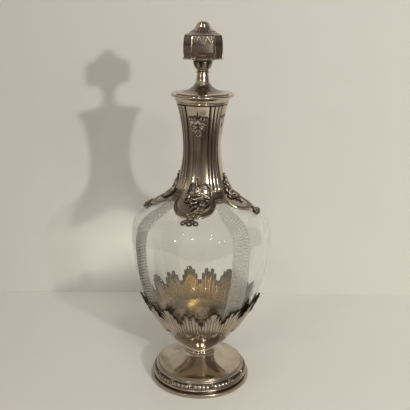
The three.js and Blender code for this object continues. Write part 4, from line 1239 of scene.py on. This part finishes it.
def cut_corner_finial():
    """Square body of the finial: a ledge at its foot, full faces and chased leaves under its top."""
    base, top = levels("finial_body")
    tall = top - base
    outlines, hollows_and_shade = [], []
    ledge = [(z, FINIAL_HALF - inset) for z, inset in FINIAL_LEDGE]
    wall = [(z, FINIAL_HALF - 0.9 + 0.9 * smooth((z - 1.6) / 4) - 1.4 * (max(0, z - 5) / (tall - 5)) ** 2)
            for z in np.linspace(1.7, tall, 44)]
    for z, half in ledge + wall:
        fullness = FACE_FULLNESS + 0.04 * smooth((z - 1.7) / 2.5) - 0.055 * smooth((z - 4) / (tall - 4))
        outline, place = finial_outline(half * (1 + FACE_FULLNESS) / (1 + fullness), fullness)
        chasing = finial_chasing(place, tall - z) * smooth((z - 8) / 2)
        outline = outline * (1 + 0.008 * chasing[:, None])
        outlines.append((outline, base + z))
        # Painted shade: a little over the whole body, and much on the upper part of the faces, where the chased
        # lines stay bright.
        shade = 0.15 + 0.6 * (z > 8) * (1 - chasing) * smooth((8.5 - (tall - z)) / 2)
        arch = np.exp(-(((np.hypot(place[:, 0] * 6, z - 1.7) - 3.2) / 0.5) ** 2)) * (place[:, 1] == 0)
        hollows_and_shade.append(np.maximum(shade, 0.8 * arch))
    piece = closed_stack("cut_corner_finial", outlines, hollows_and_shade, chased_silver())
    dress(piece, TOP, "chased_silver", "finial_body")


def finial_roof():
    """Roof that sweeps up from the square into a round knob, with a beaded garland on its slope."""
    base, _ = levels("finial_knob")
    roof = FINIAL_HALF - 1.4
    eaves, _ = finial_outline(roof)
    count = len(eaves)
    outlines, hollows_and_shade = [(eaves, base)], [np.zeros(count)]
    beads = 0.5 + 0.5 * np.cos(even(count) * 26)
    for z, width, roundness in curve_through(ROOF_SWEEP, 9)[1:]:
        square, _ = finial_outline(roof * width)
        circle = round_outline(roof * width, count)
        garland = dome((z - 2.6) / 1.0)
        outline = square + (circle - square) * np.clip(roundness, 0, 1)
        outline = outline * (1 + 0.05 * garland * beads)[:, None]
        outlines.append((outline, base + z))
        # Painted shade darkens the foot of the roof; patina lies between the garland's beads.
        hollows_and_shade.append(np.maximum(0.55 * smooth((1.9 - z) / 0.4), garland * (1 - 0.8 * beads)))
    piece = closed_stack("finial_roof", outlines, hollows_and_shade, silver())
    dress(piece, TOP, "silver", "finial_knob")


class CARAFE_OT_stopper(bpy.types.Operator):
    """Stopper: domed disc, stem, chased bowl, cut-corner finial and knob"""

    bl_idname = "carafe.stopper"
    bl_label = "Stopper"

    def execute(self, context):
        domed_disc()
        finial_stem()
        leafed_bowl()
        cut_corner_finial()
        finial_roof()
        return {"FINISHED"}


# Parts of the frame that stay and get their finish here.

BRASS_NODES = ("foot_stud", "foot_washer", "foot_nut", "stopper_rod", "cork_washer", "cork_nut")


class CARAFE_OT_inner_parts(bpy.types.Operator):
    """Cork, bedding and brass fixings, which keep the frame's own shapes"""

    bl_idname = "carafe.inner_parts"
    bl_label = "Inner parts"

    def execute(self, context):
        cork = shared("natural_cork", grained, light=(0.62, 0.44, 0.26), dark=(0.30, 0.18, 0.09), scale=420.0,
                      roughness=0.85, stretch=(1, 1, 0.35))
        rosin = shared("amber_rosin", grained, light=(0.16, 0.09, 0.03), dark=(0.08, 0.045, 0.016), scale=120.0,
                       roughness=0.3)
        finishes = {
            "stopper_cork": cork,
            "calyx_cement": rosin,
            "neck_cement": rosin,
            **dict.fromkeys(BRASS_NODES, brass()),
        }
        for name, material in finishes.items():
            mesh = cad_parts[name].data
            mesh.materials.clear()
            mesh.materials.append(material)
        return {"FINISHED"}


# Stage.


def area_light(name, place, target, size, watts, colour, seen=True):
    """Lamp aimed at a point: a disc that metal and glass mirror, or a square that they don't."""
    data = bpy.data.lights.new(name, "AREA")
    data.shape = "DISK" if seen else "SQUARE"
    data.size = size
    data.energy = watts
    data.color = colour
    lamp = bpy.data.objects.new(name, data)
    lamp.location = place
    lamp.rotation_euler = (Vector(target) - Vector(place)).to_track_quat("-Z", "Y").to_euler()
    lamp.visible_glossy = lamp.visible_transmission = seen
    bpy.context.scene.collection.objects.link(lamp)


def plane(name, turn, corners, material):
    """Flat rectangle of the stage, turned with the camera."""
    mesh = bpy.data.meshes.new(name)
    mesh.from_pydata([turn @ Vector(corner) for corner in corners], [], [(0, 1, 2, 3)])
    mesh.materials.append(material)
    sheet = bpy.data.objects.new(name, mesh)
    bpy.context.scene.collection.objects.link(sheet)


# Colours of the room from straight below, at 0, to straight above, at 1.
ROOM_TONES = (
    (0.30, (0.10, 0.080, 0.070)), (0.50, (0.12, 0.098, 0.085)), (0.62, (0.26, 0.235, 0.205)),
    (0.80, (0.36, 0.33, 0.29)), (0.93, (0.17, 0.155, 0.135)), (1.0, (0.12, 0.105, 0.09)),
)


def room_light():
    """World: a dim warm room with upright streaks, lighter on the left, for the metal to mirror."""
    world = bpy.data.worlds.new("room")
    bpy.context.scene.world = world
    world.use_nodes = True
    build = Nodes(world.node_tree)
    direction = build.add("ShaderNodeTexCoord", out="Generated")
    axes = build.add("ShaderNodeSeparateXYZ", direction).node.outputs
    tone = build.ramp(build.spread(axes["Z"], (-1, 1), (0, 1)), *ROOM_TONES)
    side = build.spread(axes["X"], (-0.8, 0.8), (1.5, 0.85))
    upright = build.add("ShaderNodeMapping", Vector=direction, Scale=(7, 7, 0.5))
    streaks = build.spread(build.noise(upright, 1.0, 2.0), (0.35, 0.65), (0.5, 1.5))
    strength = build.math("MULTIPLY", side, streaks)
    build.add("ShaderNodeOutputWorld", Surface=build.add("ShaderNodeBackground", Color=tone, Strength=strength))


# Name, turn from the front towards +X and rise in degrees, watts, and size in metres of each lamp.
LAMPS = (
    ("key_lamp", 41, 14, 7.4, 0.05),
    ("upper_lamp", 29, 33, 1.8, 0.09),
    ("left_lamp", -3, 33, 1.2, 0.09),
    ("ceiling_lamp_1", 36, 56, 0.8, 0.06),
    ("ceiling_lamp_2", -31, 56, 0.8, 0.06),
    ("row_lamp_1", -31, 12, 0.5, 0.05),
    ("row_lamp_2", 50, 15, 0.4, 0.03),
)
LAMP_DISTANCE = 1.3
LAMP_COLOUR = (1.0, 0.95, 0.88)


def place_camera(scene, settings):
    """Camera at its distance and height, pointed by pitch and yaw and rolled about its line of sight."""
    heading = settings.azimuth - settings.yaw
    level = math.cos(settings.pitch)
    forward = Vector((-math.sin(heading) * level, math.cos(heading) * level, -math.sin(settings.pitch)))
    right = forward.cross(Vector((0, 0, 1))).normalized()
    up = right.cross(forward)
    across = right * math.cos(settings.roll) + up * math.sin(settings.roll)
    upright = up * math.cos(settings.roll) - right * math.sin(settings.roll)
    data = bpy.data.cameras.new("camera")
    data.sensor_width = 36
    data.lens = settings.focal
    camera = bpy.data.objects.new("camera", data)
    place = Vector((
        settings.distance * math.sin(settings.azimuth),
        -settings.distance * math.cos(settings.azimuth),
        settings.height,
    ))
    camera.matrix_world = Matrix.Translation(place) @ Matrix((across, upright, -forward)).transposed().to_4x4()
    scene.collection.objects.link(camera)
    scene.camera = camera


class CARAFE_OT_stage(bpy.types.Operator):
    """Pale floor and wall, soft lamps and the camera"""

    bl_idname = "carafe.stage"
    bl_label = "Stage and camera"

    def execute(self, context):
        scene = context.scene
        settings = scene.carafe_stage
        scene.view_settings.view_transform = "Standard"
        turn = Matrix.Rotation(settings.azimuth, 4, "Z")
        wide, near, back, tall = 0.45, -0.32, settings.wall_distance, 0.55
        floor = (-wide, near, 0), (wide, near, 0), (wide, back, 0), (-wide, back, 0)
        wall = (-wide, back, 0), (wide, back, 0), (wide, back, tall), (-wide, back, tall)
        floor_paint = shared("floor_paint", stage_paint, colour=settings.floor, roughness=0.55)
        wall_paint = shared("wall_paint", stage_paint, colour=settings.wall, roughness=0.8, one_sided=True)
        plane("floor", turn, floor, floor_paint)
        plane("backdrop", turn, wall, wall_paint)
        room_light()
        middle = Vector((0, 0, 0.2))
        for name, lamp_turn, rise, watts, size in LAMPS:
            away = Vector((math.sin(lamp_turn * DEG), -math.cos(lamp_turn * DEG), math.tan(rise * DEG)))
            area_light(name, middle + LAMP_DISTANCE * away.normalized(), middle, size, watts, LAMP_COLOUR)
        area_light(
            "room_fill", (0.75, -1.2, 1.05), middle, size=1.1, watts=7.0, colour=(0.98, 0.98, 0.97), seen=False)
        place_camera(scene, settings)
        return {"FINISHED"}


class CARAFE_PT_panel(bpy.types.Panel):
    """Sizes, colours and the pieces of the carafe"""

    bl_idname = "CARAFE_PT_panel"
    bl_label = "Carafe"
    bl_space_type = "VIEW_3D"
    bl_region_type = "UI"
    bl_category = "Carafe"

    def draw(self, context):
        layout = self.layout
        for group in SETTINGS:
            settings = getattr(context.scene, group)
            box = layout.box()
            box.label(text=type(settings).bl_rna.description)
            for name in type(settings).__annotations__:
                box.prop(settings, name)
        for operator in OPERATORS:
            layout.operator(operator.bl_idname)


SETTINGS = {
    "carafe_glass": CarafeGlassSettings,
    "carafe_silver": CarafeSilverSettings,
    "carafe_crown": CarafeCrownSettings,
    "carafe_stage": CarafeStageSettings,
}
OPERATORS = (
    CARAFE_OT_stage,
    CARAFE_OT_glass_body,
    CARAFE_OT_foot,
    CARAFE_OT_calyx,
    CARAFE_OT_neck_mount,
    CARAFE_OT_ornaments,
    CARAFE_OT_stopper,
    CARAFE_OT_inner_parts,
)


def register():
    """Adds the settings, the operators and the panel."""
    for kind in (*SETTINGS.values(), *OPERATORS, CARAFE_PT_panel):
        bpy.utils.register_class(kind)
    for name, kind in SETTINGS.items():
        setattr(bpy.types.Scene, name, PointerProperty(type=kind))


def unregister():
    """Takes them away again."""
    for name in SETTINGS:
        delattr(bpy.types.Scene, name)
    for kind in (CARAFE_PT_panel, *reversed(OPERATORS), *reversed(tuple(SETTINGS.values()))):
        bpy.utils.unregister_class(kind)


def main():
    """Dresses the carafe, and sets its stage."""
    register()
    bpy.ops.carafe.stage()
    bpy.ops.carafe.glass_body()
    bpy.ops.carafe.foot()
    bpy.ops.carafe.calyx()
    bpy.ops.carafe.neck_mount()
    bpy.ops.carafe.ornaments()
    bpy.ops.carafe.stopper()
    bpy.ops.carafe.inner_parts()


if __name__ == "__main__":
    main()
